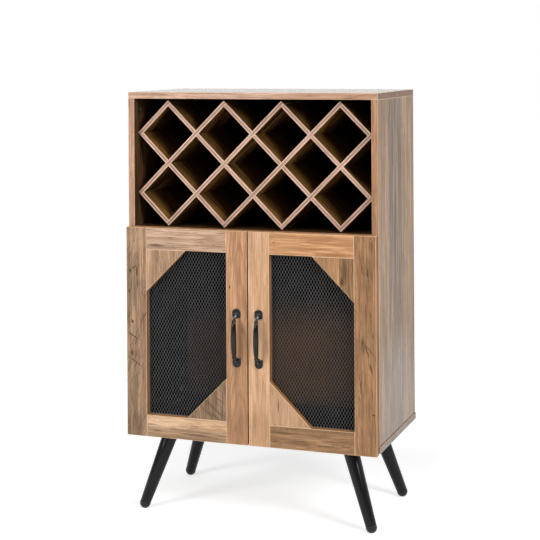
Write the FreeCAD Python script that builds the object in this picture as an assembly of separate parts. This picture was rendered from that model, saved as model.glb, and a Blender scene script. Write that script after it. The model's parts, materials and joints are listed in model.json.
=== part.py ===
import FreeCAD, Part
import math
import os
from collections import namedtuple

# Bar cabinet: a panel box on four splayed legs. A lattice wine rack stands in the
# open bay above, two framed mesh doors close the cupboard below.
# Millimetres. +X right, +Y back, +Z up. The origin is on the floor, under the middle
# of the whole object. Left and right are as seen from the front.

V = FreeCAD.Vector
UP = V(0, 0, 1)
DOWN = V(0, 0, -1)
BACK = V(0, 1, 0)
FRONT = V(0, -1, 0)
LEFT = V(-1, 0, 0)
RIGHT = V(1, 0, 0)
LEFT_SIDE = -1
RIGHT_SIDE = 1
FRONT_END = -1
BACK_END = 1

# Carcass
carcass_width = 600.0
carcass_depth = 320.0
carcass_height = 788.0
panel_t = 15.0
base_overhang = 2.0          # the bottom panel stands proud of each side panel
back_t = 3.0
back_inset = 8.0             # from the rear edges to the back panels
back_tongue = 4.0            # how far a back panel enters its grooves
back_play = 0.2
back_seam = 1.0              # between the two back panels, behind the shelf

# Cam fittings and dowels at the panel joints
cam_radius = 7.5
cam_skin = 2.5               # board left behind a cam
cam_setback = 27.0           # from the joint to the middle of the cam
cam_front = 34.0             # from the front edge to the first cam
cam_rear = 50.0              # from the rear edge to the second cam
cam_slot_length = 9.0        # cross recess for the driver
cam_slot_width = 1.6
cam_slot_depth = 1.5
cam_bolt_radius = 3.0
cam_bolt_grip = 11.0         # length screwed into the other board
dowel_radius = 4.0
dowel_skin = 5.0             # board left past the short end of a dowel
dowel_length = 30.0
dowel_from_cam = 32.0
bore_play = 0.1              # radial play of hidden fittings in their bores

# Lattice wine rack
rack_columns = 4
rack_rows = 2
rack_board_t = 9.5
rack_side_play = 1.1
rack_head_play = 4.1
rack_lift = 0.3              # running gap over the shelf
rack_setback = 20.0
rack_rear_gap = 19.0
rack_slot_play = 0.3
rack_screw_inset = 45.0      # from the front and back edges to the corner screws
rack_screw_bite = 18.0       # length in the end of the butting board

# Legs
leg_height = 182.0
leg_inset_side = 85.0
leg_inset_depth = 52.0
leg_splay_side = 18.9        # degrees, outwards
leg_splay_depth = 9.5        # degrees, forwards and backwards
leg_top_radius = 18.0
leg_tip_radius = 12.5
leg_plate_size = 64.0
leg_plate_t = 2.5
leg_plate_corner = 8.0
leg_boss_radius = 16.5
leg_seat_play = 0.5          # between the plate and the high side of the leg
leg_bolt_radius = 4.0
leg_bolt_bite = 36.0         # length of bolt in the leg
leg_screw_inset = 9.0
glide_collar = 3.0
glide_flat = 0.8             # depth of the flat that the glide stands on
glide_pin_radius = 2.0
glide_pin_length = 12.0

# Doors
door_t = 15.0
door_side_reveal = 1.5       # side panel left showing beside the door
door_centre_gap = 3.0
door_top_reveal = 1.0        # shelf left showing above the doors
door_drop = 3.5              # how far the doors hang below the bottom panel
stile_width = 50.0
rail_width = 50.0
gusset_leg = 97.0
tongue_t = 5.0
tongue_length = 8.0
tongue_inset = 8.0           # from a board's edges to the ends of its tongue
tongue_play = 0.2

# Door mesh
mesh_t = 1.2
mesh_margin = 8.0            # how far the sheet laps the frame
mesh_border = 3.0            # plain strip inside the window
mesh_real_pitch_x = 7.0
mesh_real_pitch_z = 12.7
mesh_real_strand = 1.7
mesh_coarseness = 2.5        # the net is drawn with fewer and larger diamonds
mesh_screw_inset = 4.0
mesh_screw_step = 92.0

# Hinges: a cup in the door turns on a pin held by a cranked arm
hinge_end_distance = 85.0    # from the ends of the door to the hinges
cup_radius = 17.5
cup_edge = 3.0               # door left beside the cup
cup_skin = 2.5               # door left in front of the cup
cup_wall = 0.8
flange_t = 1.0
flange_rim = 0.8
flange_length = 62.0
flange_width = 13.0
flange_shift = 6.0           # the flange screws lie this far past the cup's middle
flange_screw_step = 48.0
hinge_pin_radius = 1.1
hinge_pin_play = 0.05
hinge_pin_edge = 7.0         # from the door's edge to the pin
hinge_pin_recess = 0.4       # from the pin's ends to the outside of the ears
hinge_eye_radius = 2.0
hinge_eye_play = 0.2
hinge_ear_t = 2.6
hinge_ear_reach = 1.3        # ear around the pin's hole
hinge_ear_play = 0.3
hinge_arm_t = 1.5
hinge_arm_width = 11.4
hinge_arm_crank = 12.8       # from the pin to the middle of the arm's long run
hinge_arm_tail = 2.0         # arm past the rear end of its plate
hinge_swing_play = 0.3       # between the door's rear corner and the side panel
hinge_plate_front = 22.0
hinge_plate_length = 34.0
hinge_plate_width = 18.0
hinge_wing_t = 2.0
hinge_wing_width = 14.0
hinge_wing_length = 48.0
hinge_wing_screw_step = 32.0

# Handles
handle_hole_step = 101.6
handle_reach = 26.0          # from the door to the front of the grip
handle_grip_radius = 6.2
handle_foot_width = 19.2
handle_foot_outer = 15.2     # from the screw to the foot's outer end
handle_foot_inner = 7.0
handle_foot_t = 3.2
handle_foot_round = 1.0
handle_neck_radius = 3.8
handle_root_radius = 5.0
handle_boss_radius = 6.6
handle_boss_height = 2.4     # above the foot
handle_bead_radius = 4.9
handle_bead_length = 2.4
handle_sections = 33
handle_screw_bite = 7.0

# Magnetic catches
catch_width = 30.0
catch_depth = 24.0
catch_height = 13.0
catch_pole_t = 1.6
catch_pole_width = 18.0
catch_pole_gap = 4.0
catch_pole_reach = 0.6
catch_to_strike = 0.3
strike_width = 26.0
strike_height = 11.0
strike_t = 1.2
strike_drop = 7.5            # from the shelf's underside to the middle of the strike
catch_screw_back = 16.0

# Stemware rails
rail_count = 5
rail_step = 95.0
rail_flange = 60.0
rail_head = 30.0
rail_height = 26.0
rail_sheet = 1.5
rail_front = 32.0
rail_rear = 32.0
rail_screw_inset = 26.0
rail_screw_side = 9.0

# Screws
Screw = namedtuple("Screw", "head_radius head_height shank_radius sunk")
wood_screw = Screw(3.6, 2.0, 1.75, True)
fine_screw = Screw(2.9, 1.5, 1.4, True)
pan_screw = Screw(3.4, 1.6, 1.4, False)
handle_screw = Screw(4.0, 2.4, 2.0, False)
arm_screw = Screw(3.2, 1.4, 2.2, False)
screw_play = 0.05
panel_screw_bite = 11.0
door_screw_bite = 9.0
arm_screw_bite = 2.0
handle_hole_play = 0.25

# Derived sizes and places
inner_width = carcass_width - 2 * panel_t
half_width = carcass_width / 2
half_inner = inner_width / 2
cam_depth = panel_t - cam_skin

cup_depth = door_t - cup_skin
hinge_pin_depth = cup_depth - cup_wall - hinge_eye_play - hinge_eye_radius
door_gap = math.hypot(hinge_pin_depth, hinge_pin_edge) - hinge_pin_depth + hinge_swing_play

overall_depth = handle_reach + door_t + door_gap + carcass_depth
carcass_back = overall_depth / 2
carcass_front = carcass_back - carcass_depth
door_back = carcass_front - door_gap
door_front = door_back - door_t
back_rear_face = carcass_back - back_inset
back_face = back_rear_face - back_t

rack_tip = rack_board_t / math.sqrt(2)
rack_width = inner_width - 2 * rack_side_play
rack_half_cell = (rack_width - 2 * rack_tip) / (2 * rack_columns)
rack_height = 2 * rack_rows * rack_half_cell + 2 * rack_tip
rack_front = carcass_front + rack_setback
rack_back = back_face - rack_rear_gap
rack_middle = (rack_front + rack_back) / 2

base_z = leg_height
base_top = base_z + panel_t
top_z = base_z + carcass_height
top_underside = top_z - panel_t
shelf_top = top_underside - rack_head_play - rack_height - rack_lift
shelf_underside = shelf_top - panel_t
rack_base = shelf_top + rack_lift

door_outer = half_width - door_side_reveal
door_inner = door_centre_gap / 2
door_bottom = base_z - door_drop
door_top = shelf_top - door_top_reveal
window_outer = door_outer - stile_width
window_inner = door_inner + stile_width
window_bottom = door_bottom + rail_width
window_top = door_top - rail_width

hinge_x = door_outer - hinge_pin_edge
hinge_y = door_back - hinge_pin_depth
cup_x = door_outer - cup_edge - cup_radius
hinge_levels = (door_bottom + hinge_end_distance, door_top - hinge_end_distance)
flange_screw_x = cup_x - flange_shift
handle_x = door_inner + stile_width / 2
handle_z = (door_bottom + door_top) / 2
strike_z = shelf_underside - strike_drop

mesh_pitch_x = mesh_coarseness * mesh_real_pitch_x
mesh_pitch_z = mesh_coarseness * mesh_real_pitch_z
mesh_strand = mesh_coarseness * mesh_real_strand


def box(x0, x1, y0, y1, z0, z1):
    """Block between two corners, given in any order along X."""
    low, high = min(x0, x1), max(x0, x1)
    return Part.makeBox(high - low, y1 - y0, z1 - z0, V(low, y0, z0))


def rod(start, axis, length, radius):
    """Round bar from a point along a direction."""
    return Part.makeCylinder(radius, length, start, axis)


def prism_y(corners, y0, y1):
    """Outline in the XZ plane, carried from y0 to y1."""
    points = [V(x, y0, z) for x, z in corners]
    outline = Part.makePolygon(points + points[:1])
    return Part.Face(outline).extrude(V(0, y1 - y0, 0))


def mirrored(shape):
    """The same piece on the other side of the cabinet."""
    return shape.mirror(V(0, 0, 0), RIGHT)


def join(shapes):
    """One solid from touching or overlapping ones."""
    return shapes[0].fuse(list(shapes[1:])).removeSplitter()


def drill(shape, bores):
    """Take every bore that reaches the shape out of it."""
    near = [bore for bore in bores if shape.BoundBox.intersect(bore.BoundBox)]
    return shape.cut(near) if near else shape


def screw(kind, head_point, axis, length, play=0.0):
    """Screw whose head's outer face is centred on head_point; play makes its bore."""
    axis = V(axis).normalize()
    head_radius = kind.head_radius + play
    shank_radius = kind.shank_radius + play
    shank = rod(head_point, axis, length + play, shank_radius)
    if kind.sunk:
        head = Part.makeCone(head_radius, shank_radius, kind.head_height, head_point, axis)
    else:
        head = rod(head_point, axis, kind.head_height, head_radius)
    return join([shank, head])


ScrewAt = namedtuple("ScrewAt", "kind point axis length")


def screw_solids(places):
    """The screws of a list of places."""
    return [screw(at.kind, at.point, at.axis, at.length) for at in places]


def screw_bores(places):
    """The bores that the screws of a list of places need."""
    return [screw(at.kind, at.point, at.axis, at.length, screw_play) for at in places]


# Panel joints

Seam = namedtuple("Seam", "point into_cam face")


def panel_seams():
    """Joints of the carcass, each with the way into its cam's board and that board's open face."""
    seams = []
    end_middle = half_width - panel_t / 2
    for y in (carcass_front + cam_front, carcass_back - cam_rear):
        for side in (LEFT_SIDE, RIGHT_SIDE):
            inward = V(-side, 0, 0)
            seams.append(Seam(V(side * end_middle, y, top_underside), DOWN, inward))
            seams.append(Seam(V(side * end_middle, y, base_top), UP, inward))
            shelf_middle = shelf_top - panel_t / 2
            seams.append(Seam(V(side * half_inner, y, shelf_middle), inward, DOWN))
    return seams


def cam_disc(seam, play=0.0):
    """Round cam, flush with the face that it is turned from."""
    centre = seam.point + seam.into_cam * cam_setback
    start = centre + seam.face * (panel_t / 2)
    return rod(start, -seam.face, cam_depth + play, cam_radius + play)


def cam_bolt(seam, play=0.0):
    """Bolt from the other board into the cam."""
    start = seam.point - seam.into_cam * (cam_bolt_grip + play)
    reach = cam_bolt_grip + cam_setback + 2 * play
    return rod(start, seam.into_cam, reach, cam_bolt_radius + play)


def cam_slot(seam, along, across):
    """One slot of the cross recess in a cam's face."""
    centre = seam.point + seam.into_cam * cam_setback + seam.face * (panel_t / 2)
    run = along * (cam_slot_length / 2)
    side = across * (cam_slot_width / 2)
    corners = [centre + run + side, centre - run + side, centre - run - side, centre + run - side]
    mouth = Part.Face(Part.makePolygon(corners + corners[:1]))
    return mouth.extrude(seam.face * -cam_slot_depth)


def cam_lock(seam):
    """Cam with the hole that takes the bolt's head and a cross recess in its face."""
    along = seam.into_cam
    across = along.cross(seam.face)
    slots = [cam_slot(seam, along, across), cam_slot(seam, across, along)]
    return cam_disc(seam).cut([cam_bolt(seam, bore_play)] + slots)


def dowel(seam, play=0.0):
    """Wooden dowel beside the cam fitting, towards the middle of the board."""
    middle_y = (carcass_front + carcass_back) / 2
    step = dowel_from_cam if seam.point.y < middle_y else -dowel_from_cam
    short_end = panel_t - dowel_skin
    start = seam.point + V(0, step, 0) - seam.into_cam * (short_end + play)
    return rod(start, seam.into_cam, dowel_length + 2 * play, dowel_radius + play)


def seam_bores(seams):
    """Bores for all cams, bolts and dowels."""
    bores = []
    for seam in seams:
        bores.append(cam_disc(seam, bore_play))
        bores.append(cam_bolt(seam, bore_play))
        bores.append(dowel(seam, bore_play))
    return bores


# Carcass panels

def back_grooves():
    """Slots in the sides, top and bottom that hold the back panels."""
    reach = back_tongue + back_play
    return box(
        -half_inner - reach, half_inner + reach,
        back_face - back_play, back_rear_face + back_play,
        base_top - reach, top_underside + reach)


def side_panel(side, bores):
    """Side panel between the bottom and the top panel."""
    panel = box(side * half_inner, side * half_width, carcass_front, carcass_back,
                base_top, top_underside)
    return drill(panel.cut(back_grooves()), bores)


def top_panel(bores):
    """Top panel, laid over the side panels."""
    panel = box(-half_width, half_width, carcass_front, carcass_back, top_underside, top_z)
    return drill(panel.cut(back_grooves()), bores)


def bottom_panel(bores):
    """Bottom panel under the side panels, a little wider than they stand."""
    reach = half_width + base_overhang
    panel = box(-reach, reach, carcass_front, carcass_back, base_z, base_top)
    return drill(panel.cut(back_grooves()), bores)


def middle_shelf(bores):
    """Fixed shelf between the bay and the cupboard."""
    shelf = box(-half_inner, half_inner, carcass_front, back_face - back_play,
                shelf_underside, shelf_top)
    return drill(shelf, bores)


def back_panels():
    """Upper and lower back panels, which meet behind the shelf."""
    reach = half_inner + back_tongue
    seam_z = shelf_top - panel_t / 2
    upper = box(-reach, reach, back_face, back_rear_face,
                seam_z + back_seam / 2, top_underside + back_tongue)
    lower = box(-reach, reach, back_face, back_rear_face,
                base_top - back_tongue, seam_z - back_seam / 2)
    return upper, lower


# Legs

LEG_CORNERS = (
    (LEFT_SIDE, FRONT_END),
    (RIGHT_SIDE, FRONT_END),
    (LEFT_SIDE, BACK_END),
    (RIGHT_SIDE, BACK_END),
)


def leg_axis(side, end):
    """Direction of a leg, from the cabinet to the floor."""
    lean_x = side * math.tan(math.radians(leg_splay_side))
    lean_y = end * math.tan(math.radians(leg_splay_depth))
    return V(lean_x, lean_y, -1).normalize()


def leg_root(side, end):
    """Where a leg's axis meets the underside of the bottom panel."""
    x = side * (half_width - leg_inset_side)
    y = carcass_front + leg_inset_depth
    if end == BACK_END:
        y = carcass_back - leg_inset_depth
    return V(x, y, base_z)


def leg_seat():
    """Distance along the axis to the leg's top, just clear of its plate."""
    axis = leg_axis(RIGHT_SIDE, BACK_END)
    fall = -axis.z
    tilt = math.sqrt(1 - fall * fall)
    return (leg_plate_t + leg_seat_play + leg_top_radius * tilt) / fall


def glide_centre():
    """Distance along the axis to the middle of the glide's dome."""
    fall = -leg_axis(RIGHT_SIDE, BACK_END).z
    return (leg_height - leg_tip_radius + glide_flat) / fall


def leg_bolt(side, end, play=0.0):
    """Threaded bolt that joins a leg to its plate."""
    axis = leg_axis(side, end)
    start = leg_plate_t
    length = leg_seat() + leg_bolt_bite - start
    return rod(leg_root(side, end) + axis * start, axis, length + play, leg_bolt_radius + play)


def glide_pin(side, end, play=0.0):
    """Pin of the glide, in the end of the leg."""
    axis = leg_axis(side, end)
    start = glide_centre() - glide_collar - glide_pin_length - play
    length = glide_pin_length + play + glide_collar
    return rod(leg_root(side, end) + axis * start, axis, length, glide_pin_radius + play)


def leg(side, end):
    """Turned leg, tapered from its plate to its glide."""
    axis = leg_axis(side, end)
    top = leg_seat()
    length = glide_centre() - glide_collar - top
    cone = Part.makeCone(leg_top_radius, leg_tip_radius, length,
                         leg_root(side, end) + axis * top, axis)
    return cone.cut([leg_bolt(side, end, bore_play), glide_pin(side, end, bore_play)])


def foot_glide(side, end):
    """Domed glide with a collar, flat where it meets the floor."""
    axis = leg_axis(side, end)
    centre = leg_root(side, end) + axis * glide_centre()
    dome = Part.makeSphere(leg_tip_radius, centre)
    below = rod(centre, axis, 2 * leg_tip_radius, 2 * leg_tip_radius)
    collar = rod(centre - axis * glide_collar, axis, glide_collar, leg_tip_radius)
    whole = join([dome.common(below), collar, glide_pin(side, end)])
    reach = 4 * leg_tip_radius
    floor = box(centre.x - reach, centre.x + reach, centre.y - reach, centre.y + reach, -reach, 0)
    return whole.cut(floor)


def leg_screws():
    """Four screws in each leg plate."""
    places = []
    offset = leg_plate_size / 2 - leg_screw_inset
    for side, end in LEG_CORNERS:
        root = leg_root(side, end)
        for dx in (-offset, offset):
            for dy in (-offset, offset):
                point = V(root.x + dx, root.y + dy, base_z - leg_plate_t)
                length = leg_plate_t + panel_screw_bite
                places.append(ScrewAt(wood_screw, point, UP, length))
    return places


def leg_plate(side, end, bores):
    """Square plate with a slanted boss that sets the leg's splay."""
    root = leg_root(side, end)
    axis = leg_axis(side, end)
    half = leg_plate_size / 2
    plate = box(root.x - half, root.x + half, root.y - half, root.y + half,
                base_z - leg_plate_t, base_z)
    uprights = [edge for edge in plate.Edges if abs(edge.tangentAt(0).z) > 0.9]
    plate = plate.makeFillet(leg_plate_corner, uprights)
    boss = rod(root, axis, leg_seat(), leg_boss_radius)
    above = box(root.x - half, root.x + half, root.y - half, root.y + half,
                base_z, base_z + leg_plate_size)
    shape = join([plate, boss.cut(above)])
    return drill(shape, bores + [leg_bolt(side, end, bore_play)])


# Lattice rack

Board = namedtuple("Board", "slope line start end")


def rack_point(i, j):
    """Grid corner of the lattice, counted in half cells from the lower left tip."""
    x = -rack_width / 2 + rack_tip + i * rack_half_cell
    z = rack_base + rack_tip + j * rack_half_cell
    return V(x, 0, z)


def rising_boards():
    """Boards that climb to the right, on the lines i - j = constant."""
    wide, high = 2 * rack_columns, 2 * rack_rows
    boards = []
    for line in range(1 - high, wide, 2):
        start = max(0, line)
        end = min(wide, high + line)
        boards.append(Board(1, line, start, end))
    return boards


def falling_boards():
    """Boards that drop to the right, on the lines i + j = constant."""
    wide, high = 2 * rack_columns, 2 * rack_rows
    boards = []
    for line in range(1, wide + high, 2):
        start = max(0, line - high)
        end = min(wide, line)
        boards.append(Board(-1, line, start, end))
    return boards


def board_corner(board, i):
    """Grid corner number i, counted along X, of a board."""
    j = i - board.line if board.slope > 0 else board.line - i
    return rack_point(i, j)


def board_strip(board, from_point, to_point, width, y0, y1):
    """Strip along a board's line, of a given width across it."""
    across = V(-board.slope, 0, 1).normalize() * (width / 2)
    corners = [from_point + across, from_point - across, to_point - across, to_point + across]
    return prism_y([(c.x, c.z) for c in corners], y0, y1)


def board_slots(board, others, y0, y1):
    """Half-depth slots where a board crosses the boards of the other slope."""
    slots = []
    along = V(1, 0, board.slope).normalize()
    half_slot = along * ((rack_board_t + rack_slot_play) / 2)
    for other in others:
        crossing_i = (board.line + other.line) // 2
        inside_own = board.start < crossing_i < board.end
        inside_other = other.start < crossing_i < other.end
        if inside_own and inside_other:
            centre = board_corner(board, crossing_i)
            slots.append(board_strip(board, centre - half_slot, centre + half_slot,
                                     2 * rack_board_t, y0, y1))
    return slots


def rack_board(board, others, bores):
    """One lattice board: rising ones run through the tips, falling ones butt between them."""
    along = V(1, 0, board.slope).normalize()
    overrun = along * (board.slope * rack_board_t / 2)
    start = board_corner(board, board.start) - overrun
    end = board_corner(board, board.end) + overrun
    plank = board_strip(board, start, end, rack_board_t, rack_front, rack_back)
    half_play = rack_slot_play / 2
    if board.slope > 0:
        slots = board_slots(board, others, rack_middle - half_play, rack_back + 1)
    else:
        slots = board_slots(board, others, rack_front - 1, rack_middle + half_play)
    return drill(plank.cut(slots) if slots else plank, bores)


def rack_screws():
    """Screws through the rising boards into the ends of the falling ones."""
    places = []
    length = rack_board_t + rack_screw_bite
    for board in falling_boards():
        along = V(1, 0, -1).normalize()
        ends = ((board_corner(board, board.start), along),
                (board_corner(board, board.end), -along))
        for corner, inward in ends:
            for y in (rack_front + rack_screw_inset, rack_back - rack_screw_inset):
                point = V(corner.x, y, corner.z) - inward * (rack_board_t / 2)
                places.append(ScrewAt(fine_screw, point, inward, length))
    return places


# Doors, built as the left one; the right one is its mirror image

def gusset_outline(corner_x, corner_z, side, rise):
    """Right triangle in a window's corner; side and rise point into the window."""
    return [(corner_x, corner_z),
            (corner_x + side * gusset_leg, corner_z),
            (corner_x, corner_z + rise * gusset_leg)]


def tongue(x0, x1, z0, z1, play=0.0):
    """Tongue in the middle of the door's thickness; play makes its mortise."""
    middle = (door_front + door_back) / 2
    half = tongue_t / 2 + play
    return box(x0 - play, x1 + play, middle - half, middle + half, z0 - play, z1 + play)


def rail_tongues(z0, z1, play=0.0):
    """Tongues at both ends of a rail."""
    low, high = z0 + tongue_inset, z1 - tongue_inset
    outer = tongue(-window_outer - tongue_length, -window_outer, low, high, play)
    inner = tongue(-window_inner, -window_inner + tongue_length, low, high, play)
    return [outer, inner]


def gusset_tongues(corner_x, corner_z, side, rise, play=0.0):
    """Tongues of a gusset, one into the stile and one into the rail."""
    near, far = 2 * tongue_inset, gusset_leg - 2 * tongue_inset
    z_ends = sorted((corner_z + rise * near, corner_z + rise * far))
    x_ends = sorted((corner_x + side * near, corner_x + side * far))
    stile_x = sorted((corner_x, corner_x - side * tongue_length))
    rail_z = sorted((corner_z, corner_z - rise * tongue_length))
    return [tongue(stile_x[0], stile_x[1], z_ends[0], z_ends[1], play),
            tongue(x_ends[0], x_ends[1], rail_z[0], rail_z[1], play)]


UPPER_GUSSET = (-window_outer, window_top, 1, -1)
LOWER_GUSSET = (-window_inner, window_bottom, -1, 1)


def door_mortises():
    """Mortises in the stiles and rails for all tongues."""
    cuts = rail_tongues(window_top, door_top, tongue_play)
    cuts += rail_tongues(door_bottom, window_bottom, tongue_play)
    cuts += gusset_tongues(*UPPER_GUSSET, tongue_play)
    cuts += gusset_tongues(*LOWER_GUSSET, tongue_play)
    return cuts


def cup_bores():
    """Round bores in the hinge stile."""
    return [rod(V(-cup_x, door_back, z), FRONT, cup_depth + bore_play, cup_radius + bore_play)
            for z in hinge_levels]


def stile(x0, x1, cuts):
    """Upright of the door's frame."""
    return drill(box(x0, x1, door_front, door_back, door_bottom, door_top), cuts)


def rail(z0, z1, cuts):
    """Cross piece of the door's frame with a tongue at each end."""
    bar = box(-window_outer, -window_inner, door_front, door_back, z0, z1)
    return drill(join([bar] + rail_tongues(z0, z1)), cuts)


def gusset(place, cuts):
    """Triangular corner piece of the door."""
    corner_x, corner_z, side, rise = place
    outline = gusset_outline(corner_x, corner_z, side, rise)
    plate = prism_y(outline, door_front, door_back)
    return drill(join([plate] + gusset_tongues(corner_x, corner_z, side, rise)), cuts)


def mesh_screw_places():
    """Pan-head screws round the edge of the mesh."""
    places = []
    left = -window_outer - mesh_screw_inset
    right = -window_inner + mesh_screw_inset
    low = window_bottom - mesh_screw_inset
    high = window_top + mesh_screw_inset
    middle_x, middle_z = (left + right) / 2, (low + high) / 2
    points = [(left, middle_z + k * mesh_screw_step) for k in (-1, 0, 1)]
    points += [(right, middle_z + k * mesh_screw_step) for k in (-1, 0, 1)]
    points += [(middle_x, low), (middle_x, high)]
    for x, z in points:
        head = V(x, door_back + mesh_t + pan_screw.head_height, z)
        length = pan_screw.head_height + mesh_t + door_screw_bite
        places.append(ScrewAt(pan_screw, head, FRONT, length))
    return places


def cup_screw_places():
    """Two screws through the flange of each hinge cup."""
    places = []
    for z in hinge_levels:
        for dz in (-flange_screw_step / 2, flange_screw_step / 2):
            head = V(-flange_screw_x, door_back + flange_t, z + dz)
            places.append(ScrewAt(fine_screw, head, FRONT, flange_t + door_screw_bite))
    return places


def strike_screw_place():
    """Screw in the middle of the strike plate."""
    head = V(-handle_x, door_back + strike_t, strike_z)
    return ScrewAt(fine_screw, head, FRONT, strike_t + door_screw_bite)


def handle_screw_places():
    """Machine screws from the back of the stile into the handle's feet."""
    places = []
    length = handle_screw.head_height + door_t + handle_screw_bite
    for sign in (-1, 1):
        z = handle_z + sign * handle_hole_step / 2
        head = V(-handle_x, door_back + handle_screw.head_height, z)
        places.append(ScrewAt(handle_screw, head, FRONT, length))
    return places


def handle_bores():
    """Through holes for the handle's screws."""
    radius = handle_screw.shank_radius + handle_hole_play
    return [rod(at.point, FRONT, at.length, radius) for at in handle_screw_places()]


def mesh_hole(x, z):
    """Diamond opening of the net round its centre, drawn against the turn of the sheet's edge."""
    half_x = mesh_pitch_x / 2 - mesh_strand / 2
    half_z = mesh_pitch_z / 2 - mesh_strand / 2 * mesh_pitch_z / mesh_pitch_x
    return [(x - half_x, z), (x, z + half_z), (x + half_x, z), (x, z - half_z)]


def mesh_sheet(bores):
    """Flat net behind the window, with staggered rows of diamond openings."""
    x0, x1 = -window_outer - mesh_margin, -window_inner + mesh_margin
    z0, z1 = window_bottom - mesh_margin, window_top + mesh_margin
    sheet = [V(x0, door_back, z0), V(x1, door_back, z0), V(x1, door_back, z1), V(x0, door_back, z1)]
    wires = [Part.makePolygon(sheet + sheet[:1])]
    room_x = window_outer - window_inner - 2 * mesh_border
    room_z = window_top - window_bottom - 2 * mesh_border
    columns = int(room_x // mesh_pitch_x)
    rows = int(2 * room_z / mesh_pitch_z) - 1
    first_x = (x0 + x1) / 2 - (columns - 1) * mesh_pitch_x / 2
    first_z = (z0 + z1) / 2 - (rows - 1) * mesh_pitch_z / 4
    for row in range(rows):
        shift = mesh_pitch_x / 2 if row % 2 else 0.0
        count = columns - 1 if row % 2 else columns
        for column in range(count):
            corners = mesh_hole(first_x + shift + column * mesh_pitch_x,
                                first_z + row * mesh_pitch_z / 2)
            points = [V(x, door_back, z) for x, z in corners]
            wires.append(Part.makePolygon(points + points[:1]))
    face = Part.Face(wires)
    return drill(face.extrude(V(0, mesh_t, 0)), bores)


def strike_plate(bores):
    """Steel plate that the catch holds."""
    plate = box(-handle_x - strike_width / 2, -handle_x + strike_width / 2,
                door_back, door_back + strike_t,
                strike_z - strike_height / 2, strike_z + strike_height / 2)
    return drill(plate, bores)


# Handle

HandleRing = namedtuple("HandleRing", "height reach radius")


def handle_rings():
    """Round sections along the handle's upper half: height from its middle, reach from the door."""
    hole = handle_hole_step / 2
    grip = handle_reach - handle_grip_radius
    return [
        HandleRing(hole, handle_foot_t / 2, handle_root_radius),
        HandleRing(hole - 0.8, 0.32 * grip, handle_neck_radius + 0.3),
        HandleRing(hole - 2.8, 0.60 * grip, handle_neck_radius - 0.2),
        HandleRing(hole - 6.4, 0.80 * grip, handle_neck_radius),
        HandleRing(hole - 11.5, 0.89 * grip, handle_neck_radius + 0.6),
        HandleRing(hole - 26.0, 0.97 * grip, handle_grip_radius - 0.5),
        HandleRing(0.0, grip, handle_grip_radius),
    ]


def handle_bar(x, z_middle):
    """Bowed grip and its two necks, one smooth body through evenly spaced sections."""
    upper = handle_rings()
    lower = [HandleRing(-ring.height, ring.reach, ring.radius) for ring in upper[-2::-1]]
    guide = Part.BSplineCurve()
    guide.interpolate([V(ring.height, ring.reach, ring.radius) for ring in upper + lower])
    wires = []
    for at in guide.discretize(Number=handle_sections):
        slope = guide.tangent(guide.parameter(at))[0]
        centre = V(x, door_front - at.y, z_middle + at.x)
        along = V(0, -slope.y, slope.x)
        wires.append(Part.Wire(Part.makeCircle(at.z, centre, along)))
    return Part.makeLoft(wires, True, False)


def handle_foot(x, z_hole, outward):
    """Foot plate, straight at its inner end and round at its outer end."""
    half = handle_foot_width / 2
    round_z = z_hole + outward * (handle_foot_outer - half)
    inner_z = z_hole - outward * handle_foot_inner
    low, high = sorted((inner_z, round_z))
    block = box(x - half, x + half, door_front - handle_foot_t, door_front, low, high)
    end = rod(V(x, door_front, round_z), FRONT, handle_foot_t, half)
    foot = join([block, end])
    rim_y = door_front - handle_foot_t
    rim = [edge for edge in foot.Edges if abs(edge.BoundBox.YMax - rim_y) < 0.01]
    return foot.makeFillet(handle_foot_round, rim)


def handle_boss(x, z_hole):
    """Round-edged boss between a foot and its neck."""
    start = V(x, door_front - handle_foot_t / 2, z_hole)
    height = handle_foot_t / 2 + handle_boss_height
    boss = rod(start, FRONT, height, handle_boss_radius)
    rim = [edge for edge in boss.Edges if abs(edge.BoundBox.YMax - (start.y - height)) < 0.01]
    return boss.makeFillet(handle_foot_round, rim)


def handle_bead(x, z_middle, sign):
    """Small ring at each end of the grip."""
    rings = handle_rings()
    low, high = rings[4], rings[3]
    start = V(x, door_front - high.reach, z_middle + sign * high.height)
    end = V(x, door_front - low.reach, z_middle + sign * low.height)
    along = (end - start).normalize()
    middle = (start + end) * 0.5
    ring = rod(middle - along * (handle_bead_length / 2), along, handle_bead_length,
               handle_bead_radius)
    return ring.makeFillet(handle_bead_length * 0.35, ring.Edges[:1] + ring.Edges[2:3])


def handle():
    """Bow handle with two feet and a bead at each end of the grip."""
    hole = handle_hole_step / 2
    pieces = [handle_bar(-handle_x, handle_z)]
    for sign in (-1, 1):
        pieces.append(handle_foot(-handle_x, handle_z + sign * hole, sign))
        pieces.append(handle_boss(-handle_x, handle_z + sign * hole))
        pieces.append(handle_bead(-handle_x, handle_z, sign))
    bores = screw_bores(handle_screw_places())
    return join(pieces).cut(bores)


# Hinges

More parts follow.
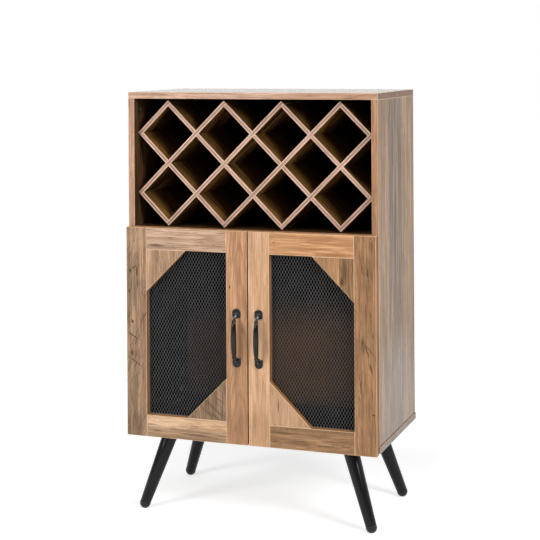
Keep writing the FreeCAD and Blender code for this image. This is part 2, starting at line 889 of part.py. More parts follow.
def hinge_cup(z, bores):
    """Cup with a flange on the back of the door and two ears for the pin."""
    mouth = V(-cup_x, door_back, z)
    shell = rod(mouth, FRONT, cup_depth, cup_radius)
    hollow = rod(mouth, FRONT, cup_depth - cup_wall, cup_radius - cup_wall)
    rim = rod(mouth, BACK, flange_t, cup_radius + flange_rim)
    wing = box(-flange_screw_x - flange_width / 2, -flange_screw_x + flange_width / 2,
               door_back, door_back + flange_t, z - flange_length / 2, z + flange_length / 2)
    mouth_cut = rod(mouth, BACK, flange_t, cup_radius - cup_wall)
    ear_inner = hinge_arm_width / 2 + hinge_ear_play
    ear_half = hinge_pin_radius + hinge_ear_reach
    floor_y = door_back - cup_depth + cup_wall / 2
    inside = rod(mouth, FRONT, cup_depth, cup_radius - cup_wall / 2)
    ears = []
    for sign in (-1, 1):
        low, high = sorted((z + sign * ear_inner, z + sign * (ear_inner + hinge_ear_t)))
        ear = box(-hinge_x - ear_half, -hinge_x + ear_half, floor_y, hinge_y + ear_half, low, high)
        ears.append(ear.common(inside))
    cup = join([shell, rim, wing]).cut([hollow, mouth_cut])
    cup = join([cup] + ears)
    pin_bore = hinge_pin(z, hinge_pin_play)
    return drill(cup, bores + [pin_bore])


def hinge_pin(z, play=0.0):
    """Pin on the door's turning axis."""
    half = hinge_arm_width / 2 + hinge_ear_play + hinge_ear_t - hinge_pin_recess + play
    return rod(V(-hinge_x, hinge_y, z - half), UP, 2 * half, hinge_pin_radius + play)


def hinge_arm(z, bores):
    """Arm: an eye on the pin, a short run out of the cup, a long run to the plate."""
    run_x = -hinge_x + hinge_arm_crank
    half_t = hinge_arm_t / 2
    half_w = hinge_arm_width / 2
    end_y = carcass_front + hinge_plate_front + hinge_plate_length + hinge_arm_tail
    eye = rod(V(-hinge_x, hinge_y, z - half_w), UP, hinge_arm_width, hinge_eye_radius)
    short = box(-hinge_x, run_x + half_t, hinge_y - half_t, hinge_y + half_t,
                z - half_w, z + half_w)
    long = box(run_x - half_t, run_x + half_t, hinge_y - half_t, end_y, z - half_w, z + half_w)
    pad_half = hinge_plate_width / 2
    pad = box(run_x - half_t, run_x + half_t, carcass_front + hinge_plate_front, end_y,
              z - pad_half, z + pad_half)
    return drill(join([eye, short, long, pad]), bores + [hinge_pin(z)])


def hinge_plate(z, bores):
    """Mounting plate on the side panel: a raised block between two screw wings."""
    face_x = -half_inner
    top_x = -hinge_x + hinge_arm_crank - hinge_arm_t / 2
    y0 = carcass_front + hinge_plate_front
    block = box(face_x, top_x, y0, y0 + hinge_plate_length,
                z - hinge_plate_width / 2, z + hinge_plate_width / 2)
    wing_y = y0 + hinge_plate_length / 2
    wing = box(face_x, face_x + hinge_wing_t, wing_y - hinge_wing_width / 2,
               wing_y + hinge_wing_width / 2, z - hinge_wing_length / 2,
               z + hinge_wing_length / 2)
    return drill(join([block, wing]), bores)


def hinge_plate_screws():
    """Two wood screws and one arm screw for each left hinge."""
    places = []
    wing_y = carcass_front + hinge_plate_front + hinge_plate_length / 2
    arm_face = -hinge_x + hinge_arm_crank + hinge_arm_t / 2
    for z in hinge_levels:
        for dz in (-hinge_wing_screw_step / 2, hinge_wing_screw_step / 2):
            head = V(-half_inner + hinge_wing_t, wing_y, z + dz)
            places.append(ScrewAt(fine_screw, head, LEFT, hinge_wing_t + door_screw_bite))
        head = V(arm_face + arm_screw.head_height, wing_y, z)
        length = arm_screw.head_height + hinge_arm_t + arm_screw_bite
        places.append(ScrewAt(arm_screw, head, LEFT, length))
    return places


def mirrored_places(places):
    """The same screws on the right side."""
    turned = []
    for at in places:
        point = V(-at.point.x, at.point.y, at.point.z)
        axis = V(-at.axis.x, at.axis.y, at.axis.z)
        turned.append(ScrewAt(at.kind, point, axis, at.length))
    return turned


# Catches and stemware rails

def catch_screw_places():
    """One screw up into the shelf for each catch."""
    point_z = shelf_underside - catch_height
    y = carcass_front + catch_screw_back
    return [ScrewAt(wood_screw, V(side * handle_x, y, point_z), UP,
                    catch_height + panel_screw_bite) for side in (LEFT_SIDE, RIGHT_SIDE)]


def door_catch(side, bores):
    """Magnetic catch: a housing under the shelf with two pole plates at its front."""
    x = side * handle_x
    pole_face = door_back + strike_t + catch_to_strike
    front = pole_face + catch_pole_reach
    low = shelf_underside - catch_height
    housing = box(x - catch_width / 2, x + catch_width / 2, front, front + catch_depth,
                  low, shelf_underside)
    half = catch_pole_width / 2
    poles = []
    for sign in (-1, 1):
        middle_z = strike_z + sign * catch_pole_gap / 2
        poles.append(box(x - half, x + half, pole_face, front,
                         middle_z - catch_pole_t / 2, middle_z + catch_pole_t / 2))
    return drill(join([housing] + poles), bores)


def rail_places():
    """Middles of the stemware rails."""
    first = -(rail_count - 1) * rail_step / 2
    return [first + index * rail_step for index in range(rail_count)]


def stemware_screws():
    """Two screws in each rail, one on each side of its web."""
    places = []
    point_z = shelf_underside - rail_sheet
    front = carcass_front + rail_front + rail_screw_inset
    rear = back_face - rail_rear - rail_screw_inset
    for x in rail_places():
        for shift, y in ((rail_screw_side, front), (-rail_screw_side, rear)):
            length = rail_sheet + panel_screw_bite
            places.append(ScrewAt(fine_screw, V(x + shift, y, point_z), UP, length))
    return places


def stemware_rail(x, bores):
    """Rail with a narrow head on the shelf and a wide foot that carries the glasses."""
    web = rail_sheet / 2
    head = rail_head / 2
    foot = rail_flange / 2
    top = shelf_underside
    bottom = top - rail_height
    outline = [(x - head, top), (x - head, top - rail_sheet), (x - web, top - rail_sheet),
               (x - web, bottom + rail_sheet), (x - foot, bottom + rail_sheet),
               (x - foot, bottom), (x + foot, bottom), (x + foot, bottom + rail_sheet),
               (x + web, bottom + rail_sheet), (x + web, top - rail_sheet),
               (x + head, top - rail_sheet), (x + head, top)]
    rail_body = prism_y(outline, carcass_front + rail_front, back_face - rail_rear)
    return drill(rail_body, bores)


# Writing the nodes

def save(name, shapes):
    """Write one node; a group of like pieces stays separate solids."""
    solids = [solid for shape in shapes for solid in shape.Solids]
    node = solids[0] if len(solids) == 1 else Part.makeCompound(solids)
    node.exportStep(os.path.join("parts", name + ".step"))


def save_carcass():
    """Panels, back panels, fittings and every screw of the carcass."""
    seams = panel_seams()
    plate_screws = hinge_plate_screws()
    plate_screws += mirrored_places(plate_screws)
    under_screws = leg_screws()
    catch_screws = catch_screw_places()
    rail_screws = stemware_screws()
    screws = under_screws + plate_screws + catch_screws + rail_screws
    hidden = screw_bores(screws)
    bores = seam_bores(seams) + hidden
    save("top_panel", [top_panel(bores)])
    save("bottom_panel", [bottom_panel(bores)])
    save("left_side_panel", [side_panel(LEFT_SIDE, bores)])
    save("right_side_panel", [side_panel(RIGHT_SIDE, bores)])
    save("middle_shelf", [middle_shelf(bores)])
    upper, lower = back_panels()
    save("upper_back_panel", [upper])
    save("lower_back_panel", [lower])
    save("cam_locks", [cam_lock(seam) for seam in seams])
    save("cam_bolts", [cam_bolt(seam) for seam in seams])
    save("dowels", [dowel(seam) for seam in seams])
    save("carcass_screws", screw_solids(screws))
    save("leg_plates", [leg_plate(side, end, hidden) for side, end in LEG_CORNERS])
    save("stemware_rails", [stemware_rail(x, hidden) for x in rail_places()])
    save("door_catches", [door_catch(side, hidden) for side in (LEFT_SIDE, RIGHT_SIDE)])
    arms = [hinge_arm(z, hidden) for z in hinge_levels]
    plates = [hinge_plate(z, hidden) for z in hinge_levels]
    pins = [hinge_pin(z) for z in hinge_levels]
    save("hinge_arms", arms + [mirrored(arm) for arm in arms])
    save("hinge_plates", plates + [mirrored(plate) for plate in plates])
    save("hinge_pins", pins + [mirrored(pin) for pin in pins])


def save_legs():
    """Four legs with their bolts and glides."""
    names = ("front_left_leg", "front_right_leg", "back_left_leg", "back_right_leg")
    for name, (side, end) in zip(names, LEG_CORNERS):
        save(name, [leg(side, end)])
    save("leg_bolts", [leg_bolt(side, end) for side, end in LEG_CORNERS])
    save("foot_glides", [foot_glide(side, end) for side, end in LEG_CORNERS])


def save_rack():
    """Lattice boards and the screws at their corners."""
    rising = rising_boards()
    falling = falling_boards()
    places = rack_screws()
    bores = screw_bores(places)
    for number, board in enumerate(rising, start=1):
        save("rack_rising_board_%d" % number, [rack_board(board, falling, bores)])
    for number, board in enumerate(falling, start=1):
        save("rack_falling_board_%d" % number, [rack_board(board, rising, bores)])
    save("rack_corner_screws", screw_solids(places))


def save_doors():
    """Both doors, piece by piece."""
    mortises = door_mortises()
    fixings = mesh_screw_places() + cup_screw_places() + [strike_screw_place()]
    bores = screw_bores(fixings)
    cuts = mortises + bores
    lock_cuts = cuts + handle_bores()
    pieces = {
        "hinge_stile": [stile(-door_outer, -window_outer, cuts + cup_bores())],
        "lock_stile": [stile(-window_inner, -door_inner, lock_cuts)],
        "top_rail": [rail(window_top, door_top, cuts)],
        "bottom_rail": [rail(door_bottom, window_bottom, cuts)],
        "upper_gusset": [gusset(UPPER_GUSSET, bores)],
        "lower_gusset": [gusset(LOWER_GUSSET, bores)],
        "mesh": [mesh_sheet(bores)],
        "handle": [handle()],
        "handle_screws": screw_solids(handle_screw_places()),
        "screws": screw_solids(fixings),
        "hinge_cups": [hinge_cup(z, bores) for z in hinge_levels],
        "strike_plate": [strike_plate(bores)],
    }
    for name, shapes in pieces.items():
        save("left_door_" + name, shapes)
        save("right_door_" + name, [mirrored(shape) for shape in shapes])


os.makedirs("parts", exist_ok=True)
save_carcass()
save_legs()
save_rack()
save_doors()
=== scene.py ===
"""Looks of the bar cabinet: its visible pieces, their finishes, the studio and the camera."""
import json
import logging
import math
from dataclasses import dataclass, replace
from enum import Enum
from typing import Callable, Optional, Sequence, Union

import bpy
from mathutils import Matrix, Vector


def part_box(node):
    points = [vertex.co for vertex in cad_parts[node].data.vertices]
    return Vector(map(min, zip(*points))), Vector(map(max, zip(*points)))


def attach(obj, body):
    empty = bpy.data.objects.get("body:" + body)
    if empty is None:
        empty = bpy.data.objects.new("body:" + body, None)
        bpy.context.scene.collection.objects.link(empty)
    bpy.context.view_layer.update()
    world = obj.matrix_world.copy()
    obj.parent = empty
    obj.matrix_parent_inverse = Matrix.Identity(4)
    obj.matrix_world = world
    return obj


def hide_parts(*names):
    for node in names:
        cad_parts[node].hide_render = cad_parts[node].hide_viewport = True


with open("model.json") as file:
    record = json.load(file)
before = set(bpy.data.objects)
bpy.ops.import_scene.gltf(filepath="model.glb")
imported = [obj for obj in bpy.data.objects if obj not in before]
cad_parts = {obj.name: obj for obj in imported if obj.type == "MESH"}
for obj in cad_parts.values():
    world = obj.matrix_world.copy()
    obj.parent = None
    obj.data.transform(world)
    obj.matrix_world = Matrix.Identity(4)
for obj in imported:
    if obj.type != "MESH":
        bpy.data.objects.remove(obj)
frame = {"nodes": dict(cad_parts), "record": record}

LOG = logging.getLogger("bar_cabinet")
MM = 0.001
NEAR = 0.01 * MM
FACING_DOOR = (math.radians(90.0), 0.0, 0.0)
WHITE = (1.0, 1.0, 1.0, 1.0)
Piece = bpy.types.Object
Node = bpy.types.Node
Socket = bpy.types.NodeSocket
Input = Union[float, Sequence[float], Node, Socket]


# Small tools

class Pick(Enum):
    """What is selected in edit mode."""

    POINTS = (True, False, False)
    EDGES = (False, True, False)
    FACES = (False, False, True)


def linear(hex_colour: str) -> tuple[float, float, float, float]:
    """Turn an sRGB colour into the linear one that Blender mixes with.

    Args:
        hex_colour: six hex digits, such as "c8a078".

    Returns:
        Red, green, blue and an alpha of one.
    """
    values = [int(hex_colour[i:i + 2], 16) / 255 for i in (0, 2, 4)]
    red, green, blue = (v / 12.92 if v <= 0.04045 else ((v + 0.055) / 1.055) ** 2.4 for v in values)
    return (red, green, blue, 1.0)


def take(piece: Piece) -> None:
    """Make a piece the only selected and active one, in object mode.

    Args:
        piece: the mesh object.
    """
    bpy.ops.object.select_all(action="DESELECT")
    piece.select_set(True)
    bpy.context.view_layer.objects.active = piece


def primitive(name: str, operator: Callable[..., object], **settings: object) -> Piece:
    """Add a primitive and put its place and turn into its mesh.

    Args:
        name: the piece's name.
        operator: Blender's operator that adds it.
        settings: what the operator is called with.

    Returns:
        The new piece.
    """
    operator(**settings)
    bpy.ops.object.transform_apply(location=True, rotation=True, scale=True)
    piece = bpy.context.object
    piece.name = name
    piece.data.name = name
    return piece


def edit(piece: Piece, pick: Pick = Pick.POINTS, everything: bool = True) -> None:
    """Open a piece in edit mode.

    Args:
        piece: the mesh object.
        pick: what is selected.
        everything: select the whole mesh, or keep the selection made in code.
    """
    take(piece)
    bpy.context.tool_settings.mesh_select_mode = pick.value
    bpy.ops.object.mode_set(mode="EDIT")
    if everything:
        bpy.ops.mesh.select_all(action="SELECT")


def close_edit() -> None:
    """Go back to object mode."""
    bpy.ops.object.mode_set(mode="OBJECT")


def forget_picks(mesh: bpy.types.Mesh) -> None:
    """Unselect all points, edges and faces of a mesh."""
    for parts in (mesh.vertices, mesh.edges, mesh.polygons):
        parts.foreach_set("select", [False] * len(parts))


def edit_where(piece: Piece, kind: Pick, wanted: Callable[[Vector], bool]) -> None:
    """Open a piece in edit mode with the points or edges selected that pass a test.

    Args:
        piece: the mesh object.
        kind: points or edges.
        wanted: test of the place of a point, or of both ends of an edge.
    """
    forget_picks(piece.data)
    points = piece.data.vertices
    for part in points if kind is Pick.POINTS else piece.data.edges:
        ends = [part.index] if kind is Pick.POINTS else part.vertices
        part.select = all(wanted(points[end].co) for end in ends)
    edit(piece, kind, everything=False)


def add_modifier(piece: Piece, kind: str, **settings: object) -> None:
    """Add a modifier and apply it at once.

    Args:
        piece: the mesh object.
        kind: the modifier's Blender type.
        settings: its properties.
    """
    take(piece)
    modifier = piece.modifiers.new(kind.lower(), kind)
    for name, value in settings.items():
        setattr(modifier, name, value)
    bpy.ops.object.modifier_apply(modifier=modifier.name)


def smooth(piece: Piece, degrees: float = 35.0) -> None:
    """Shade a piece smooth except at edges sharper than an angle."""
    take(piece)
    bpy.ops.object.shade_smooth_by_angle(angle=math.radians(degrees))


def turn_outward(piece: Piece, gap: float = 0.002) -> None:
    """Merge doubles and make all faces point outwards.

    Args:
        piece: the mesh object.
        gap: distance in mm under which points are merged.
    """
    edit(piece)
    bpy.ops.mesh.remove_doubles(threshold=gap * MM)
    bpy.ops.mesh.normals_make_consistent(inside=False)
    close_edit()


def join(pieces: Sequence[Piece], name: str) -> Piece:
    """Join pieces into the first one.

    Args:
        pieces: the mesh objects.
        name: name of the result.

    Returns:
        The first piece, which now holds them all.
    """
    take(pieces[0])
    for piece in pieces[1:]:
        piece.select_set(True)
    bpy.ops.object.join()
    pieces[0].name = name
    pieces[0].data.name = name
    return pieces[0]


def paint(piece: Piece, finish: "Finish") -> None:
    """Give a whole piece one finish."""
    piece.data.materials.clear()
    piece.data.materials.append(finish.material())


def hand_over(piece: Piece, body: str, slot: str, *nodes: str) -> None:
    """Seat a finished piece in the frame and report it.

    Args:
        piece: the mesh object, with its place in its mesh.
        body: the body that it moves with.
        slot: the record's material slot; not used.
        nodes: CAD nodes that it stands for.
    """
    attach(piece, body)
    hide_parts(*nodes)
    LOG.info("%s: %d faces, rides on %s", piece.name, len(piece.data.polygons), body)


# Finishes

class Ease(Enum):
    """How a layer fades in, as Blender's interpolation."""

    SOFT = "SMOOTHSTEP"
    EVEN = "LINEAR"


@dataclass(frozen=True)
class Layer:
    """Cloud pattern of a print, stretched along the grain.

    It is so many mm across and along, shows from the value start on and is full at full.
    """

    across: float
    along: float
    start: float = 0.0
    full: float = 1.0
    turn: float = 0.0
    detail: float = 3.0
    roughness: float = 0.58
    ease: Ease = Ease.SOFT


class Tree:
    """Node tree of a material or world."""

    def __init__(self, owner: Union[bpy.types.Material, bpy.types.World]) -> None:
        """Switch on the owner's nodes and empty them.

        Args:
            owner: the material or world.
        """
        owner.use_nodes = True
        self.own = owner.node_tree
        self.own.nodes.clear()

    def add(self, kind: str, inputs: Optional[dict[object, Input]] = None, **settings: object) -> Node:
        """Add one node, set it up and link it.

        Args:
            kind: the node's Blender type, without the word ShaderNode before it.
            inputs: socket name or number to a value, a socket or a node's first output.
            settings: the node's own properties.

        Returns:
            The new node.
        """
        node = self.own.nodes.new("ShaderNode" + kind)
        for name, value in settings.items():
            setattr(node, name, value)
        for socket, value in (inputs or {}).items():
            if isinstance(value, Node):
                value = value.outputs[0]
            if isinstance(value, Socket):
                self.own.links.new(value, node.inputs[socket])
            else:
                node.inputs[socket].default_value = value
        return node

    def cloud(self, point: Input, layer: Layer) -> Node:
        """Build a layer's pattern.

        Args:
            point: coordinates in mm with the grain along Z.
            layer: the pattern.

        Returns:
            The noise node.
        """
        turned = self.add("Mapping", {"Vector": point, "Rotation": (0.0, math.radians(layer.turn), 0.0)})
        scaled = self.add("VectorMath", {
            0: turned, 1: (1 / layer.across, 1 / layer.across, 1 / layer.along)}, operation="MULTIPLY")
        return self.add("TexNoise", {
            "Vector": scaled, "Scale": 1.0, "Detail": layer.detail, "Roughness": layer.roughness})

    def fade(self, colours: tuple[Input, Input], value: Input, window: tuple[float, float],
             strength: float = 1.0, ease: Ease = Ease.SOFT) -> Socket:
        """Fade from one colour to another as a value rises.

        Args:
            colours: the colour below and the one laid over it.
            value: the value.
            window: its sizes where the upper colour starts and where it is full.
            strength: share of the upper colour where it is full.
            ease: how it fades in.

        Returns:
            The colour socket.
        """
        share = self.add("MapRange", {
            "Value": value, "From Min": window[0], "From Max": window[1], "To Max": strength},
            interpolation_type=ease.value)
        return self.add("Mix", {0: share, 6: colours[0], 7: colours[1]}, data_type="RGBA").outputs[2]

    def tint(self, under: Input, tone: Input, point: Input, layer: Layer, strength: float = 1.0) -> Socket:
        """Lay a tone over a colour where a layer's pattern shows.

        Args:
            under: the colour below.
            tone: the tone that is laid over it.
            point: coordinates in mm with the grain along Z.
            layer: the pattern.
            strength: share of the tone where the pattern is full.

        Returns:
            The colour socket.
        """
        return self.fade((under, tone), self.cloud(point, layer), (layer.start, layer.full), strength,
                         layer.ease)


class Finish:
    """Base of all finishes: a material that is built at its first use."""

    name: str

    def material(self) -> bpy.types.Material:
        """Find the finish's material, or build it.

        Returns:
            The material.
        """
        found = bpy.data.materials.get(self.name)
        if found:
            return found
        made = bpy.data.materials.new(self.name)
        tree = Tree(made)
        tree.add("OutputMaterial", {"Surface": self.shader(tree)})
        return made

    def shader(self, tree: Tree) -> Node:
        """Build the nodes and return the shader."""
        raise NotImplementedError


class Grain(Enum):
    """Way that the grain runs, as the turn about the Y axis that lays it along Z."""

    UPRIGHT = 0.0
    ACROSS = -90.0
    RISING = -45.0
    FALLING = 45.0


# Layers that grow with the print's coarseness, so early wood is about 9 mm wide on most boards
EARLY_WOOD = Layer(13.0, 210.0, 0.36, 0.68)
LATE_WOOD = Layer(5.0, 130.0, 0.48, 0.66)
FIBRES = Layer(2.0, 80.0, 0.46, 0.6)
GREY_WASH = Layer(26.0, 110.0, 0.47, 0.68)
RING_DRIFT = Layer(75.0, 260.0, detail=2.0, roughness=0.5)
PRESSED_FIBRE = Layer(0.7, 24.0, detail=2.0, roughness=0.5)
# Layers of one size on all boards, drawn as fine as the picture can hold
SAW_LINES = Layer(1.8, 46.0, 0.5, 0.66)
PORES = Layer(1.7, 15.0, 0.64, 0.72, detail=1.0)
CRACKS = Layer(1.6, 44.0, 0.55, 0.64, turn=4.0, detail=4.0)
# Loose patches that hold the saw lines and the cracks
SAWN_PATCHES = Layer(34.0, 60.0, 0.42, 0.54, detail=1.0, roughness=0.5, ease=Ease.EVEN)
CRACKED_PATCHES = Layer(16.0, 70.0, 0.42, 0.58, detail=1.0, roughness=0.5, ease=Ease.EVEN)
SAW_TONE = "3c3029"
PORE_TONE = "46352a"
CRACK_TONE = "3e2f25"

# Steps in mm between the stretches of pattern that bands and seeds take
BAND_JUMP = (977.0, 811.0, 1291.0)
SEED_JUMP = (211.0, 137.0, 419.0)

# Growth rings: half a plank's width and a ring's length in mm, and how far the rings waver
HALF_PLANK = 26.0
RING_LENGTH = 110.0
RING_WAVER = 5.0

# Outline of a mark: how far it frays, and where it starts and is full, 1 being its size
FRAY = 0.9
MARK_RIM = 1.25
MARK_CORE = 0.35
RELIEF_DEPTH = 0.3 * MM


@dataclass(frozen=True)
class Band:
    """Strip of a board's print: its two tones and where it starts, as a share of the width."""

    light: str
    deep: str
    start: float = 0.0


@dataclass(frozen=True)
class Mark:
    """Knot, crack, patch or painted pool of light in the print: middle in shares of the board, size in mm.
    """

    across: float
    along: float
    width: float
    length: float
    tone: str = "2e231b"
    strength: float = 0.9
    lean: float = 0.0


@dataclass(frozen=True)
class OakPrint(Finish):
    """Rustic oak decor paper, pressed on particle board.

    It gives the eye printed wood: long streaks, planks of other tones, saw lines and a dull sheen.
    """

    name: str
    grain: Grain
    bands: tuple[Band, ...]
    seed: float
    streaks: float = 0.7
    rings: float = 0.0
    grey: str = "867a6e"
    wash: float = 0.2
    saw_lines: float = 0.0
    saw_turn: float = 62.0
    pores: float = 0.4
    cracks: float = 0.6
    marks: tuple[Mark, ...] = ()
    roughness: float = 0.5
    gloss: float = 0.2
    coarse: float = 0.72
    start: float = 0.0
    width: float = 1000.0
    foot: float = 0.0
    length: float = 1000.0

    def fitted(self, node: str) -> "OakPrint":
        """Lay the print out on the outer face of a board.

        Args:
            node: the CAD node of the board.

        Returns:
            The print with the board's place and size.
        """
        low, high = (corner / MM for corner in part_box(node))
        if self.grain in (Grain.RISING, Grain.FALLING):
            turn, middle = math.radians(self.grain.value), (low + high) / 2
            centre = middle.x * math.cos(turn) + middle.z * math.sin(turn) + low.y
            return replace(self, start=centre - self.width / 2)
        if self.grain is Grain.ACROSS:
            return replace(self, start=low.y - high.z, width=high.z - low.z,
                           foot=low.x, length=high.x - low.x)
        deep = high.y - low.y > high.x - low.x
        outer = high.x if deep and high.x > 0.0 else low.x
        return replace(self, start=outer + low.y, foot=low.z, length=high.z - low.z,
                       width=high.y - low.y if deep else high.x - low.x)

    def band_tone(self, tree: Tree, share: Node, deep: bool) -> Node:
        """Find the tone of the band that a point lies in.

        Args:
            tree: the material's nodes.
            share: the point's place across the board, from 0 to 1.
            deep: the deep tone instead of the light one.

        Returns:
            The colour ramp node.
        """
        ramp = tree.add("ValToRGB", {"Fac": share})
        ramp.color_ramp.interpolation = "CONSTANT"
        spots = ramp.color_ramp.elements
        for number, band in enumerate(self.bands):
            if number >= len(spots):
                spots.new(1.0)
            spots[number].position = band.start
            spots[number].color = linear(band.deep if deep else band.light)
        if len(self.bands) == 1:
            spots[1].color = spots[0].color
        return ramp

    def growth_rings(self, tree: Tree, under: Input, tone: Input, point: Input) -> Socket:
        """Lay on the arched rings of flat-sawn wood, long amid a plank and close at its edges.

        Args:
            tree: the material's nodes.
            under: the colour below.
            tone: the tone of the rings.
            point: coordinates in mm with the grain along Z.

        Returns:
            The colour socket.
        """
        drift = tree.cloud(point, RING_DRIFT)
        split = tree.add("SeparateXYZ", {"Vector": point})
        across = tree.add("Math", {0: split.outputs[0], 1: split.outputs[1]}, operation="ADD")
        offset = tree.add("Math", {0: across, 1: 1 / HALF_PLANK, 2: -1.5}, operation="MULTIPLY_ADD")
        bowed = tree.add("Math", {0: offset, 1: 2.0}, operation="PINGPONG")
        square = tree.add("Math", {0: bowed, 1: bowed}, operation="MULTIPLY")
        climb = tree.add("Math", {0: split.outputs[2], 1: 1 / RING_LENGTH, 2: square},
                         operation="MULTIPLY_ADD")
        wave = tree.add("Math", {0: drift, 1: RING_WAVER, 2: climb}, operation="MULTIPLY_ADD")
        turns = tree.add("Math", {0: wave, 1: 6.2832}, operation="MULTIPLY")
        sine = tree.add("Math", {0: turns}, operation="SINE")
        return tree.fade((under, tone), sine, (0.1, 1.0), self.rings)

    def mark(self, tree: Tree, under: Input, place: Input, wobble: Input, mark: Mark) -> Socket:
        """Lay one knot, crack, patch or painted pool of light over a colour.

        Args:
            tree: the material's nodes.
            under: the colour below.
            place: across and along in mm, as X and Z.
            wobble: noise that frays the mark's outline.
            mark: the knot, crack, patch or painted pool of light.

        Returns:
            The colour socket.
        """
        centre = (self.start + mark.across * self.width, 0.0, self.foot + mark.along * self.length)
        apart = tree.add("VectorMath", {0: place, 1: centre}, operation="SUBTRACT")
        leaned = tree.add("Mapping", {"Vector": apart, "Rotation": (0.0, math.radians(mark.lean), 0.0)})
        scaled = tree.add("VectorMath", {
            0: leaned, 1: (2 / mark.width, 0.0, 2 / mark.length)}, operation="MULTIPLY")
        frayed = tree.add("VectorMath", {0: wobble, 1: (FRAY, 0.0, FRAY), 2: scaled},
                          operation="MULTIPLY_ADD")
        reach = tree.add("VectorMath", {0: frayed}, operation="LENGTH")
        return tree.fade((under, linear(mark.tone)), reach.outputs["Value"],
                         (MARK_RIM, MARK_CORE), mark.strength)

    def shader(self, tree: Tree) -> Node:
        """Build the print, from the bands up to the cracks, and its dull face.

        Args:
            tree: the material's nodes.

        Returns:
            The shader node.
        """
        origin = tree.add("TexCoord")
        grid = tree.add("Mapping", {
            "Vector": origin.outputs["Object"], "Scale": (1 / MM, 1 / MM, 1 / MM),
            "Rotation": (0.0, math.radians(self.grain.value), 0.0)})
        split = tree.add("SeparateXYZ", {"Vector": grid})
        across = tree.add("Math", {0: split.outputs[0], 1: split.outputs[1]}, operation="ADD")
        share = tree.add("MapRange", {
            "Value": across, "From Min": self.start, "From Max": self.start + self.width})
        light = self.band_tone(tree, share, False)
        deep = self.band_tone(tree, share, True)
        jump = tree.add("VectorMath", {
            0: light, 1: BAND_JUMP, 2: [self.seed * step for step in SEED_JUMP]}, operation="MULTIPLY_ADD")
        moved = tree.add("VectorMath", {0: grid, 1: jump}, operation="ADD")
        point = tree.add("VectorMath", {0: moved, 1: (1 / self.coarse,) * 3}, operation="MULTIPLY")
        colour = tree.tint(light, deep, point, EARLY_WOOD, 0.35 + 0.5 * self.streaks)
        if self.rings:
            colour = self.growth_rings(tree, colour, deep, point)
        colour = tree.tint(colour, deep, point, LATE_WOOD, 0.8 * self.streaks)
        colour = tree.tint(colour, deep, point, FIBRES, self.streaks)
        if self.wash:
            colour = tree.tint(colour, linear(self.grey), point, GREY_WASH, self.wash)
        if self.saw_lines:
            sawn = tree.tint(colour, linear(SAW_TONE), moved,
                             replace(SAW_LINES, turn=self.saw_turn), self.saw_lines)
            colour = tree.tint(colour, sawn, moved, SAWN_PATCHES)
        if self.marks:
            place = tree.add("CombineXYZ", {0: across, 2: split.outputs[2]})
            small = tree.add("TexNoise", {"Vector": place, "Scale": 0.28, "Detail": 3.0})
            wobble = tree.add("VectorMath", {
                0: small.outputs["Color"], 1: (0.5, 0.5, 0.5)}, operation="SUBTRACT")
            for mark in self.marks:
                colour = self.mark(tree, colour, place, wobble, mark)
        colour = tree.tint(colour, linear(PORE_TONE), moved, PORES, self.pores)
        if self.cracks:
            cracked = tree.tint(colour, linear(CRACK_TONE), moved, CRACKS, self.cracks)
            colour = tree.tint(colour, cracked, moved, CRACKED_PATCHES)
        fibre = tree.cloud(point, PRESSED_FIBRE)
        relief = tree.add("Bump", {"Height": fibre, "Strength": 0.12, "Distance": RELIEF_DEPTH})
        rough = tree.add("MapRange", {
            "Value": fibre, "From Min": 0.3, "From Max": 0.7,
            "To Min": self.roughness - 0.05, "To Max": self.roughness + 0.07})
        return tree.add("BsdfPrincipled", {
            "Base Color": colour, "Roughness": rough, "Specular IOR Level": self.gloss,
            "Normal": relief})


@dataclass(frozen=True)
class Coat(Finish):
    """Lacquer, powder coat, plating or moulded plastic, with its grit and clouds in mm.

    It gives the eye one tone with faint clouds in it and a fine grit in its gloss.
    """

    name: str
    tone: str
    second: str
    roughness: float
    grit: float
    relief: float
    gloss: float = 0.5
    metallic: float = 0.0
    clouds: float = 26.0

    def shader(self, tree: Tree) -> Node:
        """Build the coat.

        Args:
            tree: the material's nodes.

        Returns:
            The shader node.
        """
        origin = tree.add("TexCoord")
        grit, cloud = (tree.add("TexNoise", {
            "Vector": origin.outputs["Object"], "Scale": 1 / (size * MM), "Detail": 3.0})
            for size in (self.grit, self.clouds))
        share = tree.add("MapRange", {"Value": cloud, "From Min": 0.35, "From Max": 0.7})
        tone = tree.add("Mix", {0: share, 6: linear(self.tone), 7: linear(self.second)}, data_type="RGBA")
        rough = tree.add("MapRange", {
            "Value": grit, "From Min": 0.3, "From Max": 0.7,
            "To Min": self.roughness - 0.04, "To Max": self.roughness + 0.06})
        relief = tree.add("Bump", {"Height": grit, "Strength": self.relief, "Distance": RELIEF_DEPTH})
        return tree.add("BsdfPrincipled", {
            "Base Color": tone.outputs[2], "Roughness": rough, "Metallic": self.metallic,
            "Specular IOR Level": self.gloss, "Normal": relief})


# Print of the carcass: greyed planks outside, and inside a warmer print darkened with painted shade
# The wide pale mark at the side's foot is a painted pool of floor-bounce light
SIDE_PRINT = OakPrint(
    "Rustic oak print, planked side", Grain.UPRIGHT, (Band("c8ab8f", "826a57"),
    Band("b09a89", "675648", 0.27), Band("c9ab8e", "866e59", 0.64)), 1, streaks=0.85, grey="857668",
    wash=0.25, pores=0.3, coarse=1.6, marks=(Mark(0.5, 0.08, 420, 330, "bdb3ab", 0.4),))
# The top's grey is partly the decor's tone and partly a painted sheen of the white backdrop
TOP_PRINT_AND_SHEEN = OakPrint(
    "Rustic oak print, top", Grain.ACROSS, (Band("968e88", "736b64"),), 2, streaks=0.4, pores=0,
    cracks=0.3, roughness=0.22, gloss=0.33)
